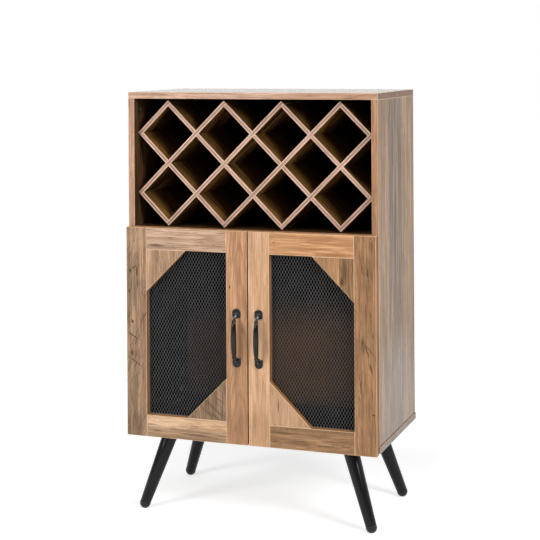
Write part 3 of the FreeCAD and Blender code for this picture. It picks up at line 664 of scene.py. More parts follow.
# Inner faces: the print with its saw lines, darkened with painted shade of the interior
INSIDE_SHADED_PRINT = OakPrint(
    "Rustic oak print, inside", Grain.UPRIGHT, (Band("6d4d2d", "2a1a0c"),), 3, wash=0.1, saw_lines=0.85,
    gloss=0.06)
# Near-black finish of the cupboard's inner faces: painted shade of the closed space under the shelf
CUPBOARD_SHADE_PRINT = OakPrint(
    "Rustic oak print, cupboard", Grain.UPRIGHT, (Band("140e09", "0c0805"),), 14, wash=0, pores=0.2,
    gloss=0.02)
LEFT_BAND = OakPrint("Oak edge band, left upright", Grain.UPRIGHT, (Band("d6aa8f", "9f7a61"),), 4, wash=0.1)
RIGHT_BAND = OakPrint(
    "Oak edge band, right upright", Grain.UPRIGHT, (Band("c18f6e", "8a664a"),), 5.5, wash=0.1)
TOP_BAND = OakPrint(
    "Oak edge band, top", Grain.ACROSS, (Band("dcb7a0", "a07b62"),), 6, wash=0.1,
    marks=(Mark(0.5, 0.82, 26, 330, "a97f62", 0.6), Mark(0.7, 0.5, 4, 120, "8a6a56", 0.6)))
SHELF_BAND = OakPrint("Oak edge band, shelf", Grain.ACROSS, (Band("ae8562", "7d5c40"),), 7)
BOTTOM_BAND = OakPrint("Oak edge band, bottom", Grain.ACROSS, (Band("aea295", "877b70"),), 8, wash=0.1)
SIDE_BAND = OakPrint("Oak edge band, top's side", Grain.ACROSS, (Band("a0836f", "674f42"),), 9, wash=0.1)
# Faces of the rack boards: their print darkened with painted shade of the deep cells
RACK_SHADED_PRINT = OakPrint(
    "Rustic oak print, rising boards", Grain.RISING, (Band("8f6632", "26170a"),), 10, wash=0,
    saw_lines=0.6, gloss=0.06)
RACK_BAND = OakPrint(
    "Oak edge band, rising board", Grain.RISING, (Band("efccb6", "c29b85"), Band("c39f8c", "7d6054", 0.24),
    Band("ecc8b2", "bd967f", 0.74)), 11, wash=0, cracks=0.4, width=9.5)
RACK_SHADED_PRINT_FALLING = replace(RACK_SHADED_PRINT, name="Rustic oak print, falling boards", grain=Grain.FALLING)
RACK_BAND_FALLING = replace(RACK_BAND, name="Oak edge band, falling board", grain=Grain.FALLING)
BACK_PRINT = OakPrint(
    "Brown oak print on hardboard", Grain.UPRIGHT, (Band("35230f", "1c1208"),), 12, wash=0, pores=0.2,
    gloss=0.02)
# Lower back seen through the nets: near-black painted shade, with one wide warm mark that paints the pool
# of light falling through the net on its lower half
LOWER_BACK_SHADE_AND_LIGHT = OakPrint(
    "Brown oak print on hardboard, cupboard", Grain.UPRIGHT, (Band("2a1b0c", "181008"),), 15, wash=0,
    pores=0.2, gloss=0.02, marks=(Mark(0.5, 0.24, 900, 270, "7d5220", 0.85),))
DOOR_RIM = OakPrint(
    "Oak edge band, door", Grain.UPRIGHT, (Band("b07c4a", "84582f"),), 13, wash=0, pores=0.2)

# Print of the door boards, each with its own tones and marks
DOOR_LOOKS: tuple[OakPrint, ...] = (
    OakPrint(
        "left_door_hinge_stile", Grain.UPRIGHT, (Band("bf9876", "6e5743"), Band("c09a7a", "80624a", 0.66)),
        21, wash=0.3, saw_lines=0.7, saw_turn=-27, marks=(Mark(0.3, 0.7, 34, 100, "75604a", 0.5),
        Mark(0.4, 0.94, 60, 70, "cda888", 0.32), Mark(0.35, 0.2, 30, 130, "75614d", 0.5),
        Mark(0.52, 0.785, 4.5, 26, "2e231b", 0.8), Mark(0.38, 0.808, 4, 15, "2e231b", 0.8, -50),
        Mark(0.18, 0.79, 6, 12), Mark(0.57, 0.73, 3.5, 24, "2e231b", 0.8),
        Mark(0.39, 0.935, 3.5, 8, "2e231b", 0.7), Mark(0.14, 0.692, 4, 10), Mark(0.29, 0.547, 6, 10),
        Mark(0.27, 0.396, 8, 16, "3c2e24", 0.8), Mark(0.3, 0.48, 3, 44, "332820", 0.9, 60),
        Mark(0.42, 0.355, 3, 60, "3c3028", 0.8, 58), Mark(0.5, 0.06, 44, 60, "4f4137", 0.5),
        Mark(0.83, 0.25, 18, 260, "8f735b", 0.6))),
    OakPrint(
        "left_door_lock_stile", Grain.UPRIGHT, (Band("d3a27b", "93694a"),), 22, streaks=0.5, rings=0.5,
        wash=0, pores=0.25, cracks=0.25, marks=(Mark(0.18, 0.736, 4, 11),
        # The last mark darkens the stile towards its bottom
        Mark(0.55, 0.32, 44, 200, "9b7655", 0.45), Mark(0.5, 0.08, 60, 110, "96704f", 0.6))),
    OakPrint(
        "left_door_top_rail", Grain.ACROSS, (Band("dcb99f", "8f6f55"),), 23, wash=0.1, cracks=0.5,
        marks=(Mark(0.4, 0.8, 60, 120, "a98162", 0.25), Mark(0.8, 0.14, 8, 48, "5c4a3f", 0.8),
        Mark(0.85, 0.4, 4, 70, "7a6353", 0.6))),
    OakPrint(
        "left_door_bottom_rail", Grain.ACROSS, (Band("dfb894", "a9835f"), Band("c3a07f", "82654a", 0.5)),
        24, rings=0.2, wash=0.15, marks=(Mark(0.3, 0.22, 34, 150, "e6c3a0", 0.55),
        Mark(0.75, 0.6, 6, 80, "69523f", 0.7))),
    OakPrint(
        "left_door_upper_gusset", Grain.UPRIGHT, (Band("d3aa88", "9c785a"), Band("c39c7b", "82654a", 0.2)),
        25, marks=(Mark(0.35, 0.78, 10, 40, "7a6350", 0.5),)),
    OakPrint(
        "left_door_lower_gusset", Grain.UPRIGHT, (Band("ab8a6c", "644e3a"),), 26, wash=0.3, saw_lines=0.95,
        saw_turn=58, marks=(Mark(0.55, 0.42, 3, 44, "4a3a2e", 0.7, 52),
        Mark(0.66, 0.3, 3, 60, "4a3a2e", 0.6, 54), Mark(0.5, 0.22, 3, 40, "4a3a2e", 0.7, 52),
        Mark(0.76, 0.52, 3, 34, "4a3a2e", 0.6, 56), Mark(0.7, 0.12, 3, 50, "4a3a2e", 0.6, 54))),
    OakPrint(
        "right_door_hinge_stile", Grain.UPRIGHT, (Band("b38760", "715034"),), 31, streaks=0.5,
        grey="6f5a45", wash=0.45, pores=0.5, cracks=0.8, marks=(Mark(0.62, 0.83, 5, 22),
        Mark(0.8, 0.95, 12, 34, "64492f", 0.6), Mark(0.62, 0.86, 14, 50, "6b5236", 0.5),
        Mark(0.4, 0.5, 18, 44, "5f4831", 0.6), Mark(0.55, 0.485, 3, 24, "33271d", 0.8, 12),
        Mark(0.38, 0.515, 3, 16, "33271d", 0.8), Mark(0.72, 0.48, 3, 36, "4a3826", 0.6, 40),
        Mark(0.74, 0.4, 6, 26, "4a3826", 0.6, 20), Mark(0.3, 0.32, 3.5, 44, "4a3826", 0.7),
        Mark(0.86, 0.19, 10, 4, "33271d", 0.8))),
    OakPrint(
        "right_door_lock_stile", Grain.UPRIGHT, (Band("e2b690", "aa805c"),), 32, streaks=0.5, rings=0.15,
        wash=0.1, pores=0.25, cracks=0.25, marks=(Mark(0.7, 0.27, 7, 60, "886a4f", 0.4),
        # The last mark darkens the stile towards its bottom
        Mark(0.3, 0.12, 8, 70, "886b51", 0.4), Mark(0.5, 0.08, 60, 110, "a17b58", 0.5))),
    OakPrint(
        "right_door_top_rail", Grain.ACROSS, (Band("e2ab7e", "9c6b42"),), 33, streaks=0.65, wash=0.05,
        cracks=0.4, marks=(Mark(0.45, 0.06, 4, 7, "2e231b", 0.8), Mark(0.9, 0.75, 9, 90, "8d6139", 0.65),
        Mark(0.5, 0.2, 60, 100, "b98a63", 0.4))),
    OakPrint(
        "right_door_bottom_rail", Grain.ACROSS, (Band("b68c66", "6f5138"),), 34, streaks=0.5,
        grey="6f5a41", wash=0.35, pores=0.6, cracks=0.8, marks=(Mark(0.3, 0.15, 8, 60, "66503b", 0.5),
        Mark(0.75, 0.7, 6, 70, "5f4834", 0.6))),
    OakPrint(
        "right_door_upper_gusset", Grain.UPRIGHT, (Band("bf9267", "8c6440"),
        Band("a57c55", "654a31", 0.6)), 35, wash=0.15, marks=(Mark(0.72, 0.62, 18, 60, "4d3926", 0.6),
        Mark(0.66, 0.42, 8, 22, "35261a", 0.8))),
    OakPrint(
        "right_door_lower_gusset", Grain.UPRIGHT, (Band("cca583", "9e7957"),), 36, streaks=0.4, wash=0.1,
        cracks=0.4, marks=(Mark(0.27, 0.5, 2.5, 34), Mark(0.2, 0.06, 4, 12))))

# Coats of the metal, plastic and wooden pieces, and the light tone on the boards' rounded edges, a painted
# highlight
EDGE_HIGHLIGHT = Coat("Rubbed edge of the print", "dcbd9f", "cba888", 0.5, 1, 0.1, 0.2)
BLACK_LACQUER = Coat("Black lacquered beech", "0c0c0f", "121216", 0.2, 2, 0.05, 0.21)
# The net's coat is drawn mid grey, not black: painted sheen of its glossy strands
BLACK_POWDER_AND_SHEEN = Coat("Black powder coat on expanded steel", "505153", "5b5c5f", 0.34, 0.9, 0.1)
BLACK_ZINC = Coat("Black coat on cast zinc", "08090b", "0c0d10", 0.15, 1.4, 0.05, 0.3)
BLACK_STEEL = Coat("Black paint on steel sheet", "131416", "1a1b1e", 0.42, 1.2, 0.1, 0.3)
ZINC_PLATE = Coat("Zinc plate on steel", "b4b6b2", "9da0a0", 0.36, 1.6, 0.1, metallic=1.0)
NICKEL_PLATE = Coat("Nickel plate on steel", "c9c5bd", "b8b4ac", 0.26, 1.2, 0.05, metallic=1.0)
BROWN_PLASTIC = Coat("Brown moulded plastic", "3b2a20", "463226", 0.5, 0.8, 0.15)
GLIDE_PLASTIC = Coat("Black moulded glide plastic", "111114", "19191c", 0.45, 0.8, 0.15, 0.3)
BEECH = Coat("Beech dowel", "c69a6c", "b58656", 0.6, 1, 0.2)


# Boards

class Side(Enum):
    """Side of a board, as the direction that its face looks in."""

    FRONT = (0.0, -1.0, 0.0)
    BACK = (0.0, 1.0, 0.0)
    LEFT = (-1.0, 0.0, 0.0)
    RIGHT = (1.0, 0.0, 0.0)
    TOP = (0.0, 0.0, 1.0)
    BOTTOM = (0.0, 0.0, -1.0)


@dataclass
class Board:
    """Board from its CAD solid, with its joints cut, rounded edges in a painted highlight and a finish per
    side.

    Lengths are in mm. Its inner side has the finish below under the height split, which the carcass uses
    for the painted shade of the cupboard.
    """

    node: str
    body: str
    slot: str
    rest: Finish
    sides: dict[Side, Finish]
    edge_width: float = 0.6
    edge: Finish = EDGE_HIGHLIGHT
    split: float = 0.0
    below: Optional[Finish] = None
    shortest_edge: float = 6.0

    def make(self) -> None:
        """Build the board."""
        mesh = frame["nodes"][self.node].data.copy()
        piece = bpy.data.objects.new(self.node + "_board", mesh)
        bpy.context.scene.collection.objects.link(piece)
        edit(piece)
        bpy.ops.mesh.remove_doubles(threshold=0.004 * MM)
        bpy.ops.mesh.dissolve_limited(angle_limit=math.radians(0.5))
        if self.below:
            bpy.ops.mesh.select_all(action="SELECT")
            bpy.ops.mesh.bisect(plane_co=(0.0, 0.0, self.split * MM), plane_no=(0.0, 0.0, 1.0))
        close_edit()
        finishes = [self.rest, self.edge, *self.sides.values()]
        if self.below:
            finishes.append(self.below)
        mesh.materials.clear()
        for finish in finishes:
            mesh.materials.append(finish.material())
        self.round_edges(piece)
        for face in mesh.polygons:
            for number, side in enumerate(self.sides, start=2):
                if face.material_index == 0 and face.normal.dot(Vector(side.value)) > 0.95:
                    low = self.below and face.center.z < self.split * MM
                    inner = face.normal.x * face.center.x < 0.0
                    face.material_index = len(finishes) - 1 if low and inner else number
        hand_over(piece, self.body, self.slot, self.node)

    def round_edges(self, piece: Piece) -> None:
        """Round off the long outer corners, in the light tone that paints a highlight along them.

        Args:
            piece: the board, with that tone in its second material slot.
        """
        mesh = piece.data
        beside: dict[tuple[int, int], list[bpy.types.MeshPolygon]] = {}
        for face in mesh.polygons:
            for key in face.edge_keys:
                beside.setdefault(key, []).append(face)
        forget_picks(mesh)
        for edge in mesh.edges:
            start, end = (mesh.vertices[i].co for i in edge.vertices)
            faces = beside.get(tuple(sorted(edge.vertices)), [])
            edge.select = (len(faces) == 2 and faces[0].normal.dot(faces[1].normal) < 0.75
                           and (faces[1].center - faces[0].center).dot(faces[0].normal) < 0.0
                           and (start - end).length > self.shortest_edge * MM)
        edit(piece, Pick.EDGES, everything=False)
        bpy.ops.mesh.bevel(offset=self.edge_width * MM, segments=2, affect="EDGES", material=1)
        close_edit()


@dataclass
class Carcass:
    """Panels of the box and the two thin backs."""

    body: str = "carcass"
    slot: str = "rustic_oak_board"
    back_slot: str = "dark_back_board"
    back_edge: float = 0.3

    def make(self) -> None:
        """Build the panels."""
        left_print = replace(SIDE_PRINT, name="Rustic oak print, left side")
        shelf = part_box("middle_shelf")[0].z / MM
        for node, look, outer, inner, band in (
                ("right_side_panel", SIDE_PRINT, Side.RIGHT, Side.LEFT, RIGHT_BAND),
                ("left_side_panel", left_print, Side.LEFT, Side.RIGHT, LEFT_BAND)):
            # Below the shelf the inner face takes the cupboard's painted shade
            Board(node, self.body, self.slot, SIDE_BAND, {
                outer: look.fitted(node), inner: INSIDE_SHADED_PRINT, Side.FRONT: band},
                split=shelf, below=CUPBOARD_SHADE_PRINT).make()
        Board("top_panel", self.body, self.slot, SIDE_BAND, {
            Side.TOP: TOP_PRINT_AND_SHEEN, Side.BOTTOM: INSIDE_SHADED_PRINT,
            Side.FRONT: TOP_BAND.fitted("top_panel")}).make()
        Board("bottom_panel", self.body, self.slot, BOTTOM_BAND, {
            Side.TOP: CUPBOARD_SHADE_PRINT, Side.BOTTOM: TOP_PRINT_AND_SHEEN}).make()
        # The shelf's top takes the dark back print as painted shade under the rack
        Board("middle_shelf", self.body, self.slot, SHELF_BAND, {
            Side.TOP: BACK_PRINT, Side.BOTTOM: CUPBOARD_SHADE_PRINT}, edge=SHELF_BAND).make()
        Board("upper_back_panel", self.body, self.back_slot, BACK_PRINT, {}, self.back_edge).make()
        Board("lower_back_panel", self.body, self.back_slot, BACK_PRINT, {
            Side.FRONT: LOWER_BACK_SHADE_AND_LIGHT.fitted("lower_back_panel")}, self.back_edge, BACK_PRINT).make()


@dataclass
class WineRack:
    """Lattice of twelve boards."""

    body: str = "wine_rack"
    slot: str = "rack_oak_board"
    boards: int = 6
    edge_width: float = 0.4
    first_seed: float = 10.0

    def make(self) -> None:
        """Build the boards."""
        for number in range(1, self.boards + 1):
            for way, face, band in (("rising", RACK_SHADED_PRINT, RACK_BAND),
                                    ("falling", RACK_SHADED_PRINT_FALLING, RACK_BAND_FALLING)):
                node = "rack_%s_board_%d" % (way, number)
                band = replace(band, name="%s %d" % (band.name, number), seed=self.first_seed + number)
                Board(node, self.body, self.slot, face, {Side.FRONT: band.fitted(node)},
                      self.edge_width).make()


@dataclass
class Net:
    """Expanded steel net: staggered diamonds with slanted strands, and a plain border."""

    pitch_x: float = 7.0
    pitch_z: float = 12.7
    hole_x: float = 5.8
    hole_z: float = 10.6
    strand: float = 0.6
    slant: float = 0.42
    sheet: float = 0.4
    border: float = 9.5
    border_sheet: float = 1.1
    lap: float = 1.0

    def make(self, node: str, body: str) -> None:
        """Build the net of one door.

        Args:
            node: the CAD node that it stands for.
            body: the door that it rides on.
        """
        low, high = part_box(node)
        middle = (low + high) / 2
        piece = self.diamond(Vector((low.x, middle.y, low.z)))
        self.spread(piece, math.ceil((high.x - low.x) / (self.pitch_x * MM)) + 1,
                    math.ceil((high.z - low.z) / (self.pitch_z * MM)) + 1)
        inset = (self.border - self.lap) * MM
        cuts = (((low.x + inset, 0, 0), (-1, 0, 0)), ((high.x - inset, 0, 0), (1, 0, 0)),
                ((0, 0, low.z + inset), (0, 0, -1)), ((0, 0, high.z - inset), (0, 0, 1)))
        for point, normal in cuts:
            edit(piece)
            bpy.ops.mesh.bisect(plane_co=point, plane_no=normal, clear_outer=True)
            close_edit()
        add_modifier(piece, "SOLIDIFY", thickness=self.sheet * MM, offset=0.0)
        piece = join([piece, self.rim(high - low, middle)], node + "_net")
        paint(piece, BLACK_POWDER_AND_SHEEN)
        hand_over(piece, body, "black_expanded_steel", node)

    def diamond(self, corner: Vector) -> Piece:
        """Build one opening with its four strands.

        Args:
            corner: its middle, at the lower left corner of the sheet.

        Returns:
            The opening.
        """
        piece = primitive("net_diamond", bpy.ops.mesh.primitive_circle_add, vertices=8,
                          radius=0.5 * MM, fill_type="NOTHING", location=corner, rotation=FACING_DOOR)
        edit(piece)
        bpy.ops.transform.resize(value=(self.hole_x, 1.0, self.hole_z), center_override=corner)
        close_edit()
        half_x, half_z = self.pitch_x / 2, self.pitch_z / 2
        shrink = 1.0 - self.strand / 2 * math.hypot(half_x, half_z) / (half_x * half_z)
        self.set_slopes(piece, corner, math.sqrt(0.5) * shrink * self.pitch_x / self.hole_x,
                        math.sqrt(0.5) * shrink * self.pitch_z / self.hole_z)
        for sign in (-1, 1):
            edit_where(piece, Pick.POINTS, lambda p: (p.x - corner.x) * sign > NEAR)
            bpy.ops.transform.translate(value=(0.0, sign * self.slant * MM, 0.0))
            close_edit()
        edit(piece, Pick.EDGES)
        bpy.ops.mesh.extrude_region_move()
        bpy.ops.transform.resize(center_override=corner, value=(
            self.pitch_x / self.hole_x, 0.0, self.pitch_z / self.hole_z))
        close_edit()
        self.set_slopes(piece, corner, self.hole_x / (self.pitch_x * shrink),
                        self.hole_z / (self.pitch_z * shrink))
        return piece

    def set_slopes(self, piece: Piece, corner: Vector, wide: float, high: float) -> None:
        """Pull the points on a diamond's slopes to or from its middle.

        Args:
            piece: the diamond.
            corner: its middle.
            wide: factor across.
            high: factor along.
        """
        edit_where(piece, Pick.POINTS, lambda p: abs(p.y - corner.y) < 0.1 * NEAR
                   and abs(p.x - corner.x) > 0.1 * self.pitch_x * MM
                   and abs(p.z - corner.z) > 0.1 * self.pitch_z * MM)
        bpy.ops.transform.resize(value=(wide, 1.0, high), center_override=corner)
        close_edit()

    def spread(self, piece: Piece, columns: int, rows: int) -> None:
        """Repeat the opening in rows and in the staggered rows between them.

        Args:
            piece: the opening.
            columns: how many lie side by side.
            rows: how many lie one above the other.
        """
        steps = ((columns, (self.pitch_x, 0.0, 0.0)), (rows, (0.0, 0.0, self.pitch_z)),
                 (2, (self.pitch_x / 2, 0.0, self.pitch_z / 2)))
        for count, step in steps:
            add_modifier(piece, "ARRAY", count=count, use_relative_offset=False, use_constant_offset=True,
                         constant_offset_displace=[length * MM for length in step])
        turn_outward(piece, 0.01)

    def rim(self, size: Vector, middle: Vector) -> Piece:
        """Build the plain border that the screws hold.

        Args:
            size: the net's whole size.
            middle: its middle.

        Returns:
            The border.
        """
        strip = primitive("net_border", bpy.ops.mesh.primitive_plane_add, size=1.0, rotation=FACING_DOOR)
        edit(strip, Pick.FACES)
        bpy.ops.transform.resize(value=(size.x, 1.0, size.z), center_override=(0.0, 0.0, 0.0))
        bpy.ops.mesh.inset(thickness=self.border * MM)
        bpy.ops.mesh.delete(type="FACE")
        bpy.ops.mesh.select_all(action="SELECT")
        bpy.ops.transform.translate(value=middle)
        close_edit()
        add_modifier(strip, "SOLIDIFY", thickness=self.border_sheet * MM, offset=0.0)
        return strip


@dataclass(frozen=True)
class Ring:
    """Round section of the handle: height from its middle, reach from the door, radius."""

    height: float
    reach: float
    radius: float


@dataclass
class Handle:
    """Cast bow handle: two feet with bosses, thin necks and a full grip between two beads."""

    hole_step: float = 101.6
    reach: float = 26.0
    grip_radius: float = 6.2
    foot_radius: float = 9.4
    foot_outer: float = 15.2
    foot_inner: float = 4.6
    foot_sheet: float = 3.2
    foot_rounding: float = 1.0
    boss_radius: float = 6.6
    boss_height: float = 5.6
    boss_rounding: float = 2.0
    neck_radius: float = 3.6
    bead_radius: float = 5.2
    bead_sheet: float = 1.3
    corners: int = 24

    def rings(self) -> list[Ring]:
        """Lay out the sections of the upper half.

        Returns:
            The sections, from the foot to the middle of the grip.
        """
        hole, neck, full = self.hole_step / 2, self.neck_radius, self.grip_radius
        grip = self.reach - full
        return [Ring(hole, 1.6, neck + 1.2),
                Ring(hole - 0.5, 0.3 * grip, neck + 0.5),
                Ring(hole - 2.6, 0.52 * grip, neck),
                Ring(hole - 5.6, 0.72 * grip, neck),
                Ring(hole - 8.4, 0.82 * grip, neck + 0.2),
                Ring(hole - 10.8, 0.87 * grip, full - 2.0),
                Ring(hole - 20.0, 0.94 * grip, full - 0.9),
                Ring(hole - 34.0, 0.98 * grip, full - 0.2),
                Ring(0.0, grip, full)]

    def make(self, door: str) -> None:
        """Build the handle of one door.

        Args:
            door: the door's body.
        """
        node = door + "_handle"
        low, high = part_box(node)
        middle = (low + high) / 2
        middle.y = high.y
        parts = [self.bar(middle), *self.end_pieces(middle, -1), *self.end_pieces(middle, 1)]
        piece = join(parts, node + "_bow")
        paint(piece, BLACK_ZINC)
        smooth(piece, 40.0)
        hand_over(piece, door, "black_cast_zinc", node)

    def bar(self, middle: Vector) -> Piece:
        """Build grip and necks: a circle carried through the sections.

        Args:
            middle: the handle's middle on the door's face.

        Returns:
            The bar.
        """
        upper = self.rings()
        sections = upper + [replace(ring, height=-ring.height) for ring in upper[-2::-1]]
        places = [middle + Vector((0.0, -ring.reach, ring.height)) * MM for ring in sections]
        bar = primitive("handle_bar", bpy.ops.mesh.primitive_circle_add, vertices=self.corners,
                        radius=sections[0].radius * MM, fill_type="NGON", location=places[0],
                        rotation=FACING_DOOR)
        edit(bar, Pick.FACES)
        angle = 0.0
        for number in range(1, len(sections)):
            last = number == len(sections) - 1
            way = Vector((0.0, 1.0, 0.0)) if last else places[number + 1] - places[number - 1]
            aim = math.atan2(-way.z, -way.y)
            bpy.ops.mesh.extrude_region_move(
                TRANSFORM_OT_translate={"value": places[number] - places[number - 1]})
            bpy.ops.transform.resize(center_override=places[number], value=[
                sections[number].radius / sections[number - 1].radius] * 3)
            bpy.ops.transform.rotate(value=aim - angle, orient_axis="X", orient_type="GLOBAL",
                                     center_override=places[number])
            angle = aim
        close_edit()
        turn_outward(bar)
        add_modifier(bar, "SUBSURF", levels=2)
        return bar

    def end_pieces(self, middle: Vector, end: int) -> list[Piece]:
        """Build the foot plate, the boss on it and the bead where the neck meets the grip.

        Args:
            middle: the handle's middle on the door's face.
            end: 1 for the upper end, -1 for the lower.

        Returns:
            The foot plate, the boss and the bead.
        """
        hole = self.hole_step / 2
        foot_z = middle.z + end * (hole + self.foot_outer - self.foot_radius) * MM
        boss_z = middle.z + end * hole * MM
        pieces = []
        for z, radius, height, rounding, corners in (
                (foot_z, self.foot_radius, self.foot_sheet, self.foot_rounding, 48),
                (boss_z, self.boss_radius, self.boss_height, self.boss_rounding, 40)):
            piece = primitive("handle_disc", bpy.ops.mesh.primitive_cylinder_add, vertices=corners,
                              radius=radius * MM, depth=height * MM, rotation=FACING_DOOR,
                              location=(middle.x, middle.y - height / 2 * MM, z))
            if z == foot_z:
                # The foot's inner end is straight
                inner = (middle.x, middle.y, middle.z + end * (hole - self.foot_inner) * MM)
                edit_where(piece, Pick.POINTS, lambda p: (p.z - z) * end < -0.2 * MM)
                bpy.ops.transform.resize(value=(1.0, 1.0, 0.0), center_override=inner)
                close_edit()
            edit_where(piece, Pick.EDGES, lambda p: abs(p.y - middle.y + height * MM) < NEAR)
            bpy.ops.mesh.bevel(offset=rounding * MM, segments=4, affect="EDGES")
            close_edit()
            pieces.append(piece)
        start, stop = (middle + Vector((0.0, -ring.reach, end * ring.height)) * MM
                       for ring in self.rings()[4:6])
        return pieces + [primitive(
            "handle_bead", bpy.ops.mesh.primitive_torus_add, major_segments=32, minor_segments=10,
            major_radius=(self.bead_radius - self.bead_sheet) * MM,
            minor_radius=self.bead_sheet * MM, location=(start + stop) / 2,
            rotation=(stop - start).to_track_quat("Z", "X").to_euler())]


@dataclass
class Door:
    """Framed door: stiles, rails, corner pieces, net and handle."""

    name: str
    slot: str = "rustic_oak_board"
    edge_width: float = 0.8

    def make(self) -> None:
        """Build the door."""
        for look in DOOR_LOOKS:
            node = look.name
            if node.startswith(self.name):
                words = node.replace("_door_", " ").replace("gusset", "corner").replace("_", " ")
                face = replace(look, name="Rustic oak print, " + words).fitted(node)
                Board(node, self.name, self.slot, DOOR_RIM,
                      {Side.FRONT: face, Side.BACK: face}, self.edge_width).make()
        Net().make(self.name + "_mesh", self.name)
        Handle().make(self.name)


@dataclass
class Legs:
    """Four splayed turned legs with domed glides."""

    body: str = "carcass"
    top_radius: float = 18.0
    tip_radius: float = 12.5
    top_rounding: float = 1.5
    tip_rounding: float = 0.35
    collar: float = 3.0
    seam: float = 0.15
    flat: float = 0.8
    splay_side: float = 18.9
    splay_depth: float = 9.5

    def make(self) -> None:
        """Build legs and glides."""
        glides = []
        low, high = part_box("foot_glides")
        radius = self.tip_radius * MM
        for name, side, end in (("front_left_leg", -1, -1), ("front_right_leg", 1, -1),
                                ("back_left_leg", -1, 1), ("back_right_leg", 1, 1)):
            axis = Vector((side * math.tan(math.radians(self.splay_side)),
                           end * math.tan(math.radians(self.splay_depth)), -1.0)).normalized()
            tip = Vector((high.x - radius if side > 0 else low.x + radius,
                          high.y - radius if end > 0 else low.y + radius, radius - self.flat * MM))
            hand_over(self.leg(name, axis, tip), self.body, "black_lacquered_wood", name)
            glides.append(self.glide(axis, tip))
        feet = join(glides, "foot_glide_caps")
        paint(feet, GLIDE_PLASTIC)
        smooth(feet)
        hand_over(feet, self.body, "glide_plastic", "foot_glides")

    def leg(self, name: str, axis: Vector, tip: Vector) -> Piece:
        """Build one leg: a long cone with a rounded top.

        Args:
            name: the leg's CAD node.
            axis: direction from its top to its tip.
            tip: middle of its glide's dome.

        Returns:
            The leg.
        """
        foot = tip - axis * self.collar * MM
        tilt = math.sqrt(1.0 - axis.z * axis.z)
        length = (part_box(name)[1].z - foot.z - self.top_radius * MM * tilt) / -axis.z
        leg = primitive(name + "_turned", bpy.ops.mesh.primitive_cone_add, vertices=96,
                        radius1=self.tip_radius * MM, radius2=self.top_radius * MM,
                        depth=length, location=foot - axis * (length / 2),
                        rotation=(-axis).to_track_quat("Z", "Y").to_euler())
        for centre, width in ((foot - axis * length, self.top_rounding), (foot, self.tip_rounding)):
            edit_where(leg, Pick.EDGES, lambda p: abs((p - centre).dot(axis)) < 5 * NEAR)
            bpy.ops.mesh.bevel(offset=width * MM, segments=3, affect="EDGES")
            close_edit()
        paint(leg, BLACK_LACQUER)
        smooth(leg)
        return leg

    def glide(self, axis: Vector, tip: Vector) -> Piece:
        """Build a domed glide with its collar, flat where it stands.

        Args:
            axis: direction from the leg's top to its tip.
            tip: middle of the dome.

        Returns:
            The glide.
        """
        glide = primitive("foot_glide", bpy.ops.mesh.primitive_uv_sphere_add, segments=48,
                          ring_count=24, radius=self.tip_radius * MM, location=tip,
                          rotation=(-axis).to_track_quat("Z", "Y").to_euler())
        edit(glide)
        bpy.ops.mesh.bisect(plane_co=tip, plane_no=axis, clear_inner=True, use_fill=True)
        close_edit()
        edit_where(glide, Pick.POINTS, lambda p: abs((p - tip).dot(axis)) < NEAR)
        bpy.ops.mesh.select_mode(type="FACE")
        bpy.ops.mesh.extrude_region_move(
            TRANSFORM_OT_translate={"value": -axis * (self.collar - self.seam) * MM})
        bpy.ops.mesh.select_all(action="SELECT")
        bpy.ops.mesh.bisect(plane_co=(0, 0, 0), plane_no=(0, 0, 1), clear_inner=True, use_fill=True)
        close_edit()
        turn_outward(glide)
        return glide


@dataclass
class Fittings:
    """Nodes that keep their CAD shape: screws, hinges, catches and other hidden steel."""

    def make(self) -> None:
        """Dress the nodes by their material slots."""
        by_slot: dict[str, Finish] = {
            "zinc_plated_steel": ZINC_PLATE, "nickel_plated_steel": NICKEL_PLATE,
            "catch_plastic": BROWN_PLASTIC, "glide_plastic": GLIDE_PLASTIC, "beech": BEECH,
            "black_painted_steel": BLACK_STEEL, "black_expanded_steel": BLACK_POWDER_AND_SHEEN,
            "black_cast_zinc": BLACK_ZINC, "black_lacquered_wood": BLACK_LACQUER,
            "dark_back_board": BACK_PRINT, "rustic_oak_board": INSIDE_SHADED_PRINT,
            "rack_oak_board": RACK_SHADED_PRINT}
        parts = frame["record"]["subparts"]
        for part in parts:
            paint(frame["nodes"][part["node"]], by_slot[part["material_slot"]])
        LOG.info("fittings: %d nodes dressed", len(parts))


@dataclass(frozen=True)
class WhiteFloor(Finish):
    """White studio floor.

    It gives the eye plain white with the cabinet's shadow, a little darker near the legs.
    """

    name: str
    near_glow: float
    far_glow: float
    near: float = 0.5
    far: float = 2.2

    def shader(self, tree: Tree) -> Node:
        """Build the floor: matt for the light, and glowing for every look at it.

        Args:
            tree: the material's nodes.

        Returns:
            The shader node.
        """
        matt = tree.add("BsdfDiffuse", {"Color": linear("f2f2f2")})
        place = tree.add("TexCoord")
        away = tree.add("VectorMath", {0: place.outputs["Object"]}, operation="LENGTH")
        level = tree.add("MapRange", {
            "Value": away.outputs["Value"], "From Min": self.near, "From Max": self.far,
            "To Min": self.near_glow, "To Max": self.far_glow}, interpolation_type=Ease.SOFT.value)
        glow = tree.add("Emission", {"Color": WHITE, "Strength": level})
        both = tree.add("AddShader", {0: matt, 1: glow})
        seen = tree.add("LightPath")
        direct = tree.add("Math", {0: seen.outputs["Is Camera Ray"], 1: seen.outputs["Is Glossy Ray"]},
            operation="MAXIMUM")
        looked = tree.add("Math", {0: direct, 1: seen.outputs["Is Transmission Ray"]}, operation="MAXIMUM")
        return tree.add("MixShader", {0: looked, 1: matt, 2: both})


